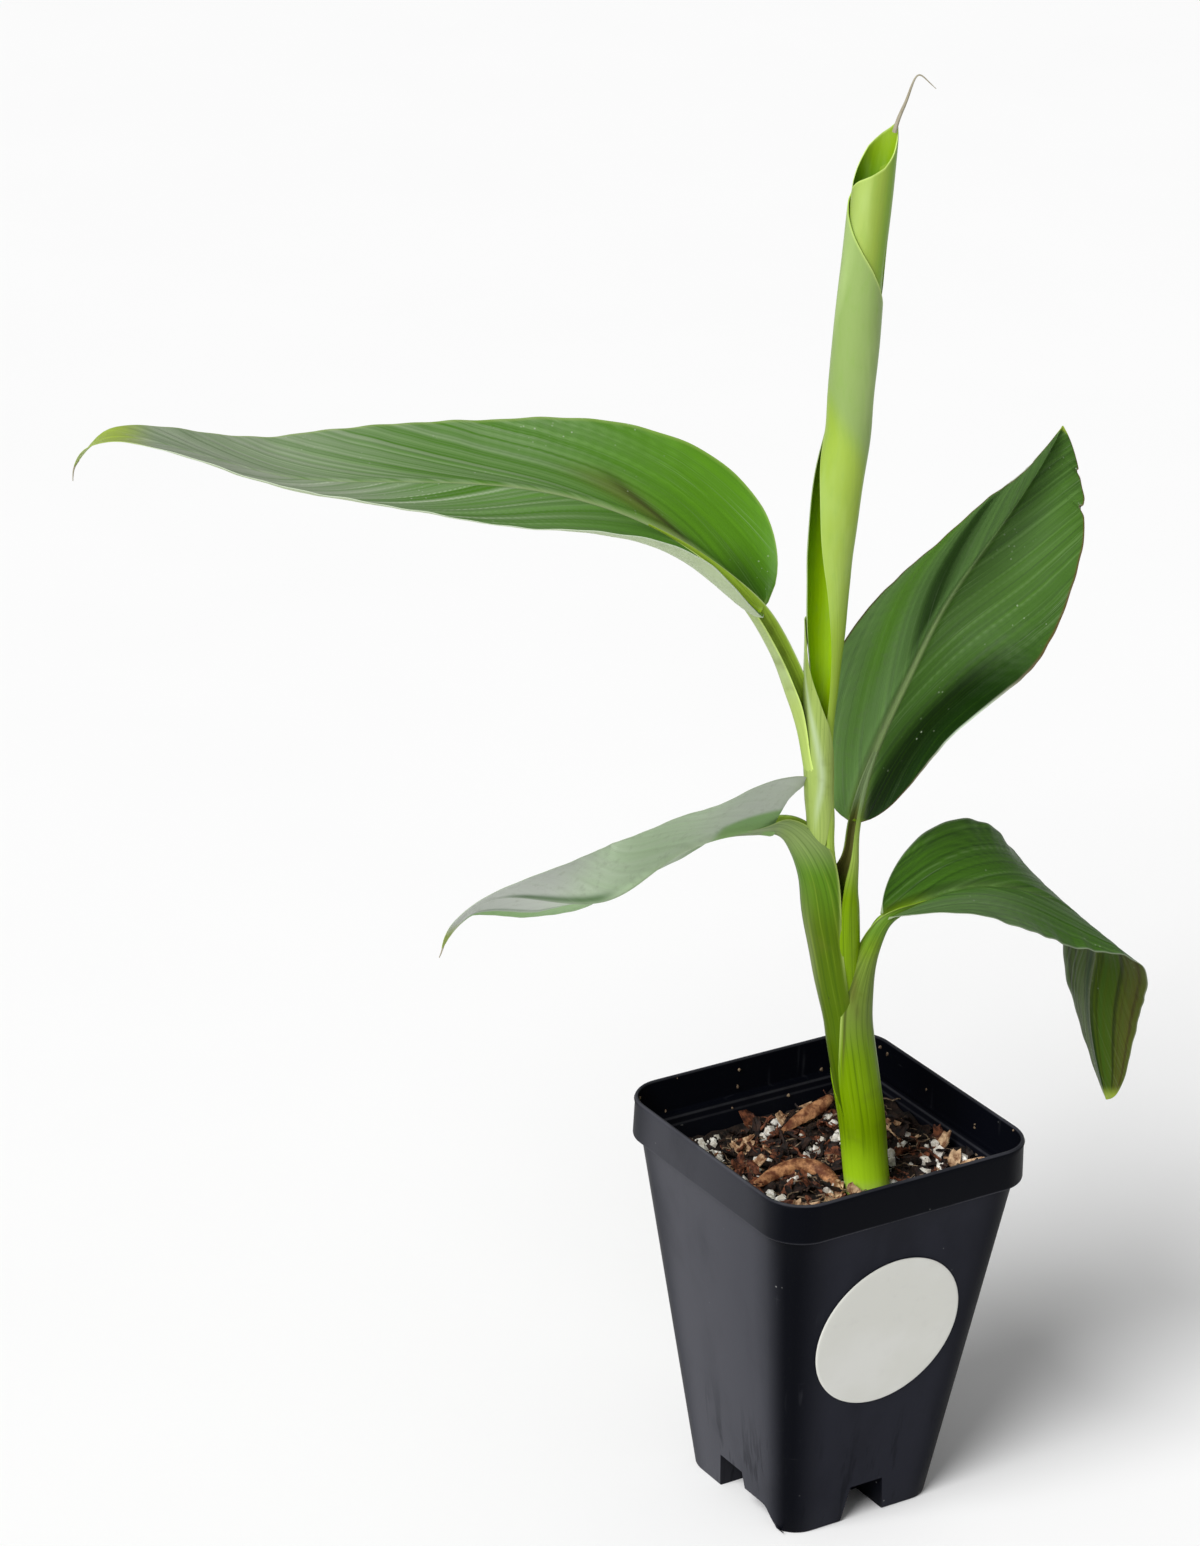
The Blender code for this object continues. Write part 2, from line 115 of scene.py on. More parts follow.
class PlantColours(bpy.types.PropertyGroup):
    """Base colours of the plant's skins."""

    leaf: colour("Leaf", (0.064, 0.175, 0.014), "Upper side of an open leaf")
    leaf_bright: colour("Leaf, bright", (0.125, 0.340, 0.006), "Thin, lit patches of a leaf")
    leaf_dark: colour("Leaf, dark", (0.008, 0.034, 0.002), "Folds and shaded halves of a leaf")
    bloom: colour("Bloom", (0.330, 0.380, 0.280), "Greyish wax along the veins")
    rib: colour("Midrib", (0.300, 0.390, 0.170), "Midrib seen from above")
    under: colour("Underside", (0.440, 0.520, 0.400), "Waxy underside of a leaf")
    # Painted shade: the underside of the hanging end, darkened as if in the shadow of the blade above.
    under_in_shade: colour("Underside, olive", (0.070, 0.110, 0.004), "Underside of the oldest leaf")
    tip: colour("Tip", (0.300, 0.400, 0.045), "Yellowing tip")
    thread: colour("Thread", (0.200, 0.160, 0.100), "Dry thread at a tip")
    margin: colour("Margin", (0.110, 0.045, 0.022), "Red-brown margin")
    stem: colour("Stem", (0.190, 0.330, 0.001), "Lower stem")
    stem_dark: colour("Stem, dark", (0.085, 0.170, 0.001), "Streaks and shaded sheaths")
    sheath: colour("Sheath", (0.420, 0.540, 0.140), "Pale young sheath")
    groove: colour("Groove", (0.240, 0.380, 0.010), "Inside of a stalk's groove")
    brown: colour("Brown stalk", (0.130, 0.120, 0.030), "Dark groove of the second stalk")
    furl: colour("Furled leaf", (0.245, 0.365, 0.075), "Outer side of the furled leaf")
    furl_pale: colour("Furled leaf, pale", (0.300, 0.425, 0.052), "Its younger layers seen from outside")
    # Partly painted light: lifted to stand in for light shining through the thin leaf into its shaded inside.
    furl_bright: colour("Furled leaf, fresh", (0.290, 0.480, 0.001), "Inner side of the furled leaf")


class PlantSizes(bpy.types.PropertyGroup):
    """Sizes of the plant's fine detail."""

    blade_thickness: length("Blade", 0.00045, "Thickness of a blade at its midrib")
    vein_spacing: length("Vein spacing", 0.0036, "Gap between lateral veins")
    vein_depth: length("Vein depth", 0.00003, "Relief of the lateral veins")
    ripple: length("Ripple", 0.0009, "How far a margin waves up and down")


class PotSettings(bpy.types.PropertyGroup):
    """Finish of the pot and its label."""

    plastic: colour("Plastic", (0.0020, 0.0024, 0.0044), "Moulded plastic of the pot")
    scuff: colour("Scuff", (0.060, 0.062, 0.070), "Scuffs and dried water on the pot")
    # Partly painted sheen: lightens the flats of the outer sides, leaving painted shade towards the corners
    # and on the inner walls.
    film_and_sheen: colour("Film", (0.017, 0.018, 0.026), "Dulled plastic on the flat of each side")
    # Painted light: lightens the side that faces -X as if lit by the key, and paints highlights along the rim
    # and ledge; at the foot it marks real scuffs.
    dust_and_sheen: colour("Haze", (0.062, 0.063, 0.074), "Fine dust on the side that faces -X")
    label: colour("Label", (0.650, 0.650, 0.600), "Blank paper label")


class SoilSettings(bpy.types.PropertyGroup):
    """Potting mix and what lies in it."""

    mix: colour("Mix", (0.004, 0.0022, 0.0015), "Damp peat between the lumps")
    relief: length("Relief", 0.0016, "Height of the uneven surface")
    bark: count("Bark", 170, "Bark chips of each colour, before their shares")
    perlite: count("Perlite", 230, "White lumps")
    crumbs: count("Crumbs", 1900, "Small dark crumbs")
    fibres: count("Fibres", 130, "Pale root fibres")
    twigs: count("Twigs", 60, "Red-brown twigs")


class StageSettings(bpy.types.PropertyGroup):
    """Floor, light and camera."""

    floor: colour("Floor", (0.92, 0.92, 0.92), "Plain pale floor")
    lens: number("Lens", 115.17, "Focal length in millimetres")
    key: number("Key light", 3.6, "Strength of the soft key")
    sky: number("Sky", 0.30, "Strength of the even light")


# ---------------------------------------------------------------- curves and frames

CURVE_STEPS = 400
KNOT_POWER = 0.75


def cubic(knots, values, at):
    """A natural cubic curve through values at knots, read at the places in at."""
    knots = np.asarray(knots, float)
    values = np.asarray(values, float)
    last = len(knots) - 1
    step = np.diff(knots)
    system = np.eye(last + 1)
    bends = np.zeros_like(values)
    for i in range(1, last):
        system[i, i - 1 : i + 2] = step[i - 1], 2 * (step[i - 1] + step[i]), step[i]
        ahead = (values[i + 1] - values[i]) / step[i]
        behind = (values[i] - values[i - 1]) / step[i - 1]
        bends[i] = 6 * (ahead - behind)
    bends = np.linalg.solve(system, bends)
    k = np.clip(np.searchsorted(knots, at, side="right") - 1, 0, last - 1)
    shape = (-1,) + (1,) * (values.ndim - 1)
    x = (at - knots[k]).reshape(shape)
    h = step[k].reshape(shape)
    slope = (values[k + 1] - values[k]) / h - h * (2 * bends[k] + bends[k + 1]) / 6
    third = (bends[k + 1] - bends[k]) / (6 * h)
    return values[k] + x * (slope + x * (bends[k] / 2 + x * third))


def even_curve(points, shares):
    """Points on a smooth curve through the given ones, at shares of its length; more columns ride along."""
    points = np.asarray(points, float)
    gaps = np.linalg.norm(np.diff(points[:, :3], axis=0), axis=1)
    knots = np.concatenate([[0.0], np.cumsum(gaps**KNOT_POWER)])
    fine = cubic(knots, points, np.linspace(0.0, knots[-1], CURVE_STEPS))
    run = np.concatenate([[0.0], np.cumsum(np.linalg.norm(np.diff(fine[:, :3], axis=0), axis=1))])
    return read_columns(np.asarray(shares) * run[-1], run, fine)


def carried_frame(path, face):
    """Along a path: the face direction carried along without twist, and the right of it."""
    ahead = np.gradient(path, axis=0)
    ahead /= np.linalg.norm(ahead, axis=1)[:, None]
    up = np.empty_like(ahead)
    carried = np.asarray(face, float)
    for i, direction in enumerate(ahead):
        carried = carried - direction * (carried @ direction)
        carried /= np.linalg.norm(carried)
        up[i] = carried
    return up, np.cross(ahead, up)


def read_columns(at, knots, table):
    """Each column of the table read at the places in at, which may be an array of any shape."""
    return np.stack([np.interp(at, knots, column) for column in np.asarray(table).T], axis=-1)


def run_length(points):
    return np.linalg.norm(np.diff(np.array(points), axis=0), axis=1).sum()


def facing(grid):
    """The direction across a grid of points at each of them."""
    normal = np.cross(np.gradient(grid, axis=1), np.gradient(grid, axis=0))
    return normal / np.maximum(np.linalg.norm(normal, axis=-1, keepdims=True), 1e-12)


def to_pot(points):
    """Millimetres in the plant's frame to metres in the pot's."""
    turn = math.radians(PLANT_TURN)
    s, d, z = points[..., 0], points[..., 1], points[..., 2]
    x = s * math.cos(turn) - d * math.sin(turn)
    y = s * math.sin(turn) + d * math.cos(turn)
    return np.stack([x, y, z], axis=-1) * MM


def bump(x, middle, half):
    """1 at the middle, falling smoothly to nothing a few half widths away."""
    return np.exp(-(((x - middle) / half) ** 2))


def ease(x, low, high):
    """0 below low, 1 above high and smooth between."""
    t = np.clip((x - low) / (high - low), 0.0, 1.0)
    return t * t * (3 - 2 * t)


def waves(x, terms, seed, shortest, longest):
    """A smooth uneven line: sines of different lengths with seeded phases, from -1 to 1."""
    draw = np.random.default_rng(seed)
    total = np.zeros_like(x, dtype=float)
    for wave in np.geomspace(longest, shortest, terms):
        total += np.sin(2 * math.pi * (x / wave + draw.random()))
    return total / terms


def coats(base, *layers):
    """A base colour with layers over it, each a colour and how far it covers at each place."""
    for layer, cover in layers:
        cover = np.clip(cover, 0.0, 1.0)[..., None]
        base = base * (1 - cover) + np.asarray(layer) * cover
    return base


def palette(colours):
    """The plant's colours as arrays, by name."""
    return SimpleNamespace(**{key: np.array(getattr(colours, key)) for key in PlantColours.__annotations__})


# ---------------------------------------------------------------- meshes


def link(name, mesh, skin=None):
    obj = bpy.data.objects.new(name, mesh)
    bpy.context.scene.collection.objects.link(obj)
    if skin:
        mesh.materials.append(skin)
    return obj


def finish_mesh(mesh, crease=40.0):
    """Smooth shading with sharp edges kept where faces meet at more than crease."""
    mesh.shade_smooth()
    mesh.set_sharp_from_angle(angle=math.radians(crease))
    mesh.update()
    return mesh


def closed_mesh(name, points, faces):
    """A mesh of points and faces, with its faces turned outwards."""
    mesh = bpy.data.meshes.new(name)
    mesh.from_pydata(points, [], faces)
    model = bmesh.new()
    model.from_mesh(mesh)
    bmesh.ops.recalc_face_normals(model, faces=model.faces)
    model.to_mesh(mesh)
    model.free()
    return mesh


def loft(name, rings):
    """A closed skin through rings of the same number of points, capped at both ends."""
    rings = np.asarray(rings)
    levels, sides = rings.shape[:2]
    faces = [tuple(range(sides)), tuple((levels - 1) * sides + i for i in range(sides))]
    for low in range(0, (levels - 1) * sides, sides):
        for i in range(sides):
            j = (i + 1) % sides
            faces.append((low + i, low + j, low + sides + j, low + sides + i))
    return closed_mesh(name, rings.reshape(-1, 3).tolist(), faces)


def set_points(mesh, name, kind, field, values):
    """A named attribute with a value for each point."""
    mesh.attributes.new(name, kind, "POINT").data.foreach_set(field, values.astype(np.float32).ravel())


def sheet_faces(rows, columns):
    """Faces of a closed skin made of an outer and an inner grid of points joined round their edge."""
    at = np.arange(rows * columns).reshape(rows, columns)
    quads = np.stack([at[:-1, :-1], at[:-1, 1:], at[1:, 1:], at[1:, :-1]], axis=-1).reshape(-1, 4)
    inner = rows * columns
    edge = np.concatenate([at[0, :], at[1:, -1], at[-1, -2::-1], at[-2:0:-1, 0]])
    following = np.roll(edge, -1)
    rim = np.stack([following, edge, edge + inner, following + inner], axis=-1)
    return np.concatenate([quads, quads[:, ::-1] + inner, rim])


def grid_skin(name, outer, inner, uv, tint):
    """A closed thin piece between two grids, with one UV place for both and a tint for each."""
    faces = sheet_faces(*outer.shape[:2])
    points = to_pot(np.stack([outer, inner])).reshape(-1, 3)
    a, b, c, d = points[faces].transpose(1, 0, 2)
    if np.sum(a * (np.cross(b, c) + np.cross(c, d))) < 0:
        faces = faces[:, ::-1]
    mesh = bpy.data.meshes.new(name)
    mesh.from_pydata(points, [], faces.tolist())
    corners = np.zeros(len(mesh.loops), np.int32)
    mesh.loops.foreach_get("vertex_index", corners)
    places = np.stack([uv, uv]).reshape(-1, 2)[corners]
    mesh.uv_layers.new(name="lie").data.foreach_set("uv", places.astype(np.float32).ravel())
    tint = tint.reshape(-1, 3)
    set_points(mesh, "tint", "FLOAT_COLOR", "color", np.concatenate([tint, np.ones((len(tint), 1))], axis=1))
    return finish_mesh(mesh)


def made_plain(obj):
    """Puts the evaluated shape into a plain mesh of the object's own and removes its modifiers."""
    graph = bpy.context.evaluated_depsgraph_get()
    mesh = bpy.data.meshes.new_from_object(
        obj.evaluated_get(graph), preserve_all_data_layers=True, depsgraph=graph
    )
    obj.modifiers.clear()
    old, obj.data = obj.data, mesh
    if old.users == 0:
        bpy.data.meshes.remove(old)
    return obj


def own(obj, slot, *nodes):
    """Hands a finished piece to the frame."""
    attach(obj, BODY)
    if nodes:
        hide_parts(*nodes)


# ---------------------------------------------------------------- node trees


class Nodes:
    """A node tree, with short ways to add nodes and to set or join their inputs."""

    def __init__(self, tree):
        self.tree = tree

    def add(self, kind, inputs=None, **settings):
        """A node with its settings, and with inputs that are each a value or another node's output."""
        node = self.tree.nodes.new(kind)
        for key, value in settings.items():
            setattr(node, key, value)
        for key, value in (inputs or {}).items():
            self.feed(node.inputs[key], value)
        return node

    def feed(self, socket, value):
        if isinstance(value, bpy.types.NodeSocket):
            self.tree.links.new(value, socket)
        elif socket.type == "RGBA":
            socket.default_value = (*value, 1.0)
        else:
            socket.default_value = value

    def maths(self, operation, *values):
        return self.add("ShaderNodeMath", dict(enumerate(values)), operation=operation).outputs[0]

    def times(self, first, *others):
        for other in others:
            first = self.maths("MULTIPLY", first, other)
        return first

    def plus(self, a, b):
        return self.maths("ADD", a, b)


class Shade(Nodes):
    """A material, with what the finishes here use."""

    def __init__(self, name):
        self.material = bpy.data.materials.get(name) or bpy.data.materials.new(name)
        self.material.use_nodes = True
        super().__init__(self.material.node_tree)
        self.tree.nodes.clear()
        self.shader = self.add("ShaderNodeBsdfPrincipled")
        self.add("ShaderNodeOutputMaterial", {"Surface": self.shader.outputs[0]})

    def place(self, scale=(1.0, 1.0, 1.0)):
        """The surface's own place in metres, scaled."""
        place = self.add("ShaderNodeTexCoord").outputs["Object"]
        return self.add("ShaderNodeMapping", {"Vector": place, "Scale": scale}).outputs["Vector"]

    def lie(self, scale):
        """The place across and along the surface in metres, from the UV map named lie, scaled."""
        place = self.add("ShaderNodeUVMap", uv_map="lie").outputs["UV"]
        return self.add("ShaderNodeMapping", {"Vector": place, "Scale": scale}).outputs["Vector"]

    def noise(self, scale=1.0, detail=3.0, rough=0.55, warp=0.0, at=None):
        inputs = {"Vector": at or self.place(), "Scale": scale, "Detail": detail}
        inputs.update({"Roughness": rough, "Distortion": warp})
        return self.add("ShaderNodeTexNoise", inputs).outputs["Fac"]

    def span(self, source, low, high, to_low=0.0, to_high=1.0):
        """The source's range from low to high, eased on to another."""
        inputs = {"Value": source, "From Min": low, "From Max": high, "To Min": to_low, "To Max": to_high}
        return self.add("ShaderNodeMapRange", inputs, interpolation_type="SMOOTHSTEP").outputs["Result"]

    def near(self, source, value, far, close):
        """1 where the source is within close of a value, and 0 from far on."""
        return self.span(self.maths("ABSOLUTE", self.plus(source, -value)), far, close)

    def dots(self, scale, edge, cloud, patch, at=None):
        """Small round specks, with an eased edge, in the patches where a broad cloud is dense."""
        inputs = {"Vector": at or self.place(), "Scale": scale, "Randomness": 1.0}
        cells = self.add("ShaderNodeTexVoronoi", inputs, feature="F1").outputs["Distance"]
        return self.times(self.span(cells, *edge), self.span(self.noise(*cloud), *patch))

    def tint(self):
        return self.add("ShaderNodeAttribute", attribute_name="tint").outputs["Color"]

    def depth_of_tint(self, low, high, least):
        """1 where the tint is darker than low, falling to least where it is paler than high."""
        grey = self.add("ShaderNodeRGBToBW", {0: self.tint()})
        return self.span(grey.outputs[0], low, high, 1.0, least)

    def mix(self, first, second, share):
        inputs = {"A": first, "B": second, "Factor": share}
        return self.add("ShaderNodeMix", inputs, data_type="RGBA").outputs["Result"]

    def relief(self, height, depth, strength=1.0):
        node = self.add("ShaderNodeBump", {"Height": height, "Distance": depth, "Strength": strength})
        self.feed(self.shader.inputs["Normal"], node.outputs["Normal"])

    def done(self, base, rough, **sockets):
        for key, value in {"Base Color": base, "Roughness": rough, **sockets}.items():
            self.feed(self.shader.inputs[key.replace("_", " ")], value)
        return self.material


def leaf_skin(colours):
    """Open leaf: fine lines and waxy streaks along the lateral veins, the streaks partly painted sheen, and a
    little dust.
    """
    shade = Shade("leaf_skin")
    streaks = shade.noise(1.0, 4.0, 0.6, 0.4, at=shade.lie((70.0, 700.0, 1.0)))
    lines = shade.noise(at=shade.lie((30.0, 1500.0, 1.0)))
    patches = shade.noise(at=shade.lie((45.0, 60.0, 1.0)))
    # Greyish streaks along the veins: partly waxy bloom, partly painted sheen, kept off the darkest tints.
    wax_and_sheen = shade.times(shade.span(streaks, 0.50, 0.74), shade.span(patches, 0.42, 0.68))
    lit = shade.maths("SUBTRACT", 1.0, shade.depth_of_tint(0.025, 0.070, 0.0))
    base = shade.mix(shade.tint(), colours.bloom, shade.times(wax_and_sheen, 0.30, lit))
    deep = shade.depth_of_tint(0.16, 0.32, 0.12)
    base = shade.mix(base, colours.leaf_bright, shade.times(shade.span(lines, 0.55, 0.74, 0.0, 0.22), deep))
    dark = shade.plus(shade.span(lines, 0.46, 0.28, 0.0, 0.30), shade.span(streaks, 0.42, 0.26, 0.0, 0.32))
    base = shade.mix(base, colours.leaf_dark, shade.times(dark, deep))
    mottle = shade.span(shade.noise(330.0, 4.0, 0.7), 0.50, 0.75, 0.0, 0.30)
    base = shade.mix(base, (0.20, 0.23, 0.15), shade.times(mottle, shade.maths("SUBTRACT", 1.0, deep)))
    dust = shade.dots(420.0, (0.17, 0.09), (60.0, 2.0), (0.54, 0.68))
    base = shade.mix(base, (0.42, 0.48, 0.36), shade.times(dust, 0.55))
    shade.relief(shade.plus(lines, shade.times(streaks, 0.6)), 0.00016, 0.55)
    return shade.done(base, shade.span(streaks, 0.30, 0.75, 0.34, 0.52), Specular_IOR_Level=0.13)


def stem_skin():
    """Sheaths and stalks: lengthwise fibres, soft blotches and tiny dark specks."""
    shade = Shade("stem_skin")
    fibres = shade.noise(at=shade.lie((1100.0, 16.0, 1.0)))
    broad = shade.noise(1.0, 2.0, at=shade.lie((420.0, 12.0, 1.0)))
    blotch = shade.noise(95.0)
    deep = shade.depth_of_tint(0.30, 0.46, 0.20)
    dark = shade.plus(shade.span(fibres, 0.52, 0.32, 0.0, 0.46), shade.span(broad, 0.44, 0.28, 0.0, 0.30))
    base = shade.mix(shade.tint(), (0.030, 0.075, 0.001), shade.times(dark, deep))
    pale = shade.times(shade.span(fibres, 0.56, 0.72, 0.0, 0.14), deep)
    base = shade.mix(base, (0.42, 0.56, 0.06), pale)
    base = shade.mix(base, (0.10, 0.13, 0.012), shade.span(blotch, 0.55, 0.78, 0.0, 0.40))
    specks = shade.dots(330.0, (0.12, 0.06), (140.0, 1.0), (0.60, 0.70), at=shade.place((1.0, 1.0, 0.7)))
    base = shade.mix(base, (0.030, 0.022, 0.010), shade.times(specks, 0.85))
    shade.relief(shade.plus(fibres, shade.times(blotch, 0.5)), 0.00025, 0.6)
    return shade.done(base, shade.span(broad, 0.3, 0.7, 0.33, 0.46), Specular_IOR_Level=0.09)


def new_leaf_skin():
    """Furled leaf: smooth and waxy, with faint lines wound round it."""
    shade = Shade("new_leaf_skin")
    lines = shade.noise(at=shade.lie((500.0, 160.0, 1.0)))
    soft = shade.noise(70.0, at=shade.place((1.0, 1.0, 0.25)))
    base = shade.mix(shade.tint(), (0.20, 0.36, 0.05), shade.span(lines, 0.52, 0.25, 0.0, 0.22))
    base = shade.mix(base, (0.50, 0.66, 0.26), shade.span(soft, 0.5, 0.75, 0.0, 0.28))
    shade.relief(lines, 0.00010, 0.4)
    return shade.done(base, shade.span(soft, 0.3, 0.7, 0.36, 0.46), Specular_IOR_Level=0.20)


def thread_skin(colours):
    """Dry threads: grey-brown, with fibres along them."""
    shade = Shade("dry_thread")
    fibre = shade.noise(at=shade.place((900.0, 900.0, 120.0)))
    shade.relief(fibre, 0.0001)
    return shade.done(shade.mix(colours.thread, (0.42, 0.40, 0.30), fibre), 0.7)


def pot_plastic(settings):
    """Moulded plastic: dulled flats with painted sheen and painted shade towards the corners and inside,
    painted light on the side that faces -X, painted highlights along the edges, dust, scuffs and streaks.
    """
    shade = Shade("pot_plastic")
    cloud = shade.noise(42.0, 4.0, 0.6, at=shade.place((1.0, 1.0, 0.5)))
    scratch = shade.noise(1.0, 3.0, 0.6, 0.3, at=shade.place((60.0, 60.0, 900.0)))
    runs = shade.noise(1.0, 3.0, 0.6, at=shade.place((260.0, 260.0, 16.0)))
    marks = shade.times(shade.span(runs, 0.60, 0.78), shade.span(cloud, 0.50, 0.72))
    scuffs = shade.times(shade.span(scratch, 0.66, 0.80), shade.span(cloud, 0.48, 0.66))
    base = shade.mix(settings.plastic, settings.scuff, shade.times(marks, 0.38))
    base = shade.mix(base, settings.scuff, shade.times(scuffs, 0.50))

    x, y, z = shade.add("ShaderNodeSeparateXYZ", {0: shade.place()}).outputs
    wide, deep = shade.maths("ABSOLUTE", x), shade.maths("ABSOLUTE", y)
    corner = shade.maths("DIVIDE", shade.maths("MINIMUM", wide, deep), shade.maths("MAXIMUM", wide, deep))
    normal = shade.add("ShaderNodeNewGeometry").outputs["True Normal"]
    outward = {0: shade.place((1.0, 1.0, 0.0)), 1: normal}
    outward = shade.add("ShaderNodeVectorMath", outward, operation="DOT_PRODUCT").outputs["Value"]
    # Painted sheen on the flats of each side, with painted shade towards the corners and on the inner walls.
    flat = shade.times(
        shade.span(corner, 0.96, 0.50),
        shade.span(cloud, 0.20, 0.60, 0.60, 1.0),
        shade.span(outward, -0.001, 0.001, 0.22, 1.0),
    )
    below = shade.span(z, STEP_HEIGHT + 0.001, STEP_HEIGHT - 0.001)
    base = shade.mix(base, settings.film_and_sheen, shade.times(flat, below))
    # Painted light: the side that faces -X is lightened as if lit by the key, less towards -Y and on the
    # band.
    lit_side = shade.times(
        shade.span(shade.plus(x, deep), 0.0, -0.003),
        shade.span(y, -0.040, 0.020, 0.62, 1.0),
        shade.span(z, STEP_HEIGHT - 0.001, STEP_HEIGHT + 0.001, 1.0, 0.72),
    )
    base = shade.mix(base, settings.dust_and_sheen, shade.times(flat, lit_side))

    foot = shade.span(z, 0.050, 0.012)
    base = shade.mix(base, settings.dust_and_sheen, shade.times(marks, foot, 0.55))
    dark_runs = shade.times(shade.span(runs, 0.46, 0.34), foot, 0.50)
    base = shade.mix(base, settings.plastic, dark_runs)
    # Painted highlights: thin light lines along the lip, the band's lower edge and the inner wall below the
    # ledge.
    ledge_highlight = shade.times(
        shade.near(z, STEP_HEIGHT - 0.0024, 0.0006, 0.0002), shade.span(outward, 0.001, -0.001), 0.6
    )
    edges = shade.plus(
        shade.near(z, POT_HEIGHT, 0.0008, 0.0003), shade.near(z, STEP_HEIGHT + 0.0003, 0.0007, 0.0002)
    )
    edge_highlights = shade.times(shade.plus(edges, ledge_highlight), shade.span(cloud, 0.30, 0.60, 0.35, 1.0), 0.6)
    base = shade.mix(base, settings.dust_and_sheen, edge_highlights)
    dust = shade.dots(260.0, (0.10, 0.05), (90.0, 2.0), (0.60, 0.68))
    base = shade.mix(base, (0.30, 0.30, 0.29), shade.times(dust, 0.7))
    rough = shade.plus(shade.span(cloud, 0.3, 0.7, 0.36, 0.46), shade.times(marks, 0.18))
    shade.relief(shade.plus(shade.noise(1400.0, 2.0), shade.times(cloud, 3.0)), 0.00006, 0.45)
    return shade.done(base, rough, Specular_IOR_Level=0.03)


def label_paper(settings):
    """Coated paper: faint mottling and a few handling marks."""
    shade = Shade("label_paper")
    mottle = shade.noise(160.0, 4.0)
    base = shade.mix(settings.label, (0.52, 0.51, 0.48), shade.span(mottle, 0.55, 0.85, 0.0, 0.35))
    base = shade.mix(base, (0.72, 0.72, 0.69), shade.span(shade.noise(30.0), 0.45, 0.70, 0.0, 0.5))
    shade.relief(shade.plus(shade.noise(1500.0, 2.0), mottle), 0.00005, 0.5)
    return shade.done(base, 0.48)


def earth(name, dark, light, scale, depth, rough=0.9):
    """Lumps of the mix: mottled between two colours, with a rough relief."""
    shade = Shade(name)
    mottle = shade.noise(scale, 5.0, 0.65)
    fine = shade.noise(scale * 5.0, 4.0, 0.7)
    base = shade.mix(dark, light, shade.span(mottle, 0.38, 0.66))
    base = shade.mix(base, dark, shade.span(fine, 0.50, 0.25, 0.0, 0.7))
    shade.relief(shade.plus(mottle, shade.times(fine, 0.5)), depth)
    return shade.done(base, rough, Specular_IOR_Level=0.3)


# ---------------------------------------------------------------- open leaves


class Leaf(NamedTuple):
    """One blade: its midrib, its outline, and how its two halves are turned along the midrib."""

    rib: tuple  # points along the midrib
    left: float  # half widths at the widest place
    right: float
    widest: float  # where that is, as a share of the length
    rise: float  # fuller foot with a larger number
    taper: float  # finer tip with a larger number
    roll: tuple  # turn about the midrib, at even steps from foot to tip
    fold: tuple  # how far both halves are lifted
    curl: tuple  # how far each half bends down from midrib to margin
    keel: float  # depth of the midrib under the foot
    face: tuple = (0.0, 0.0, 1.0)  # the way the upper side faces at the foot
    foot: tuple = (0.06, 0.06)  # half widths at the foot, left and right, as shares of the widest
    slant: float = 2.3  # how far forward a lateral vein runs for each millimetre across
    pleat: float = 0.20  # depth of the folds along the veins
    wavy: float = 1.0  # how far the margins wave, against the common ripple
    scoop: float = 0.0  # how far the foot is cut back beside the midrib, as a share
    nicks: tuple = ()  # torn or bulging places: side, share of the length, width and depth as shares


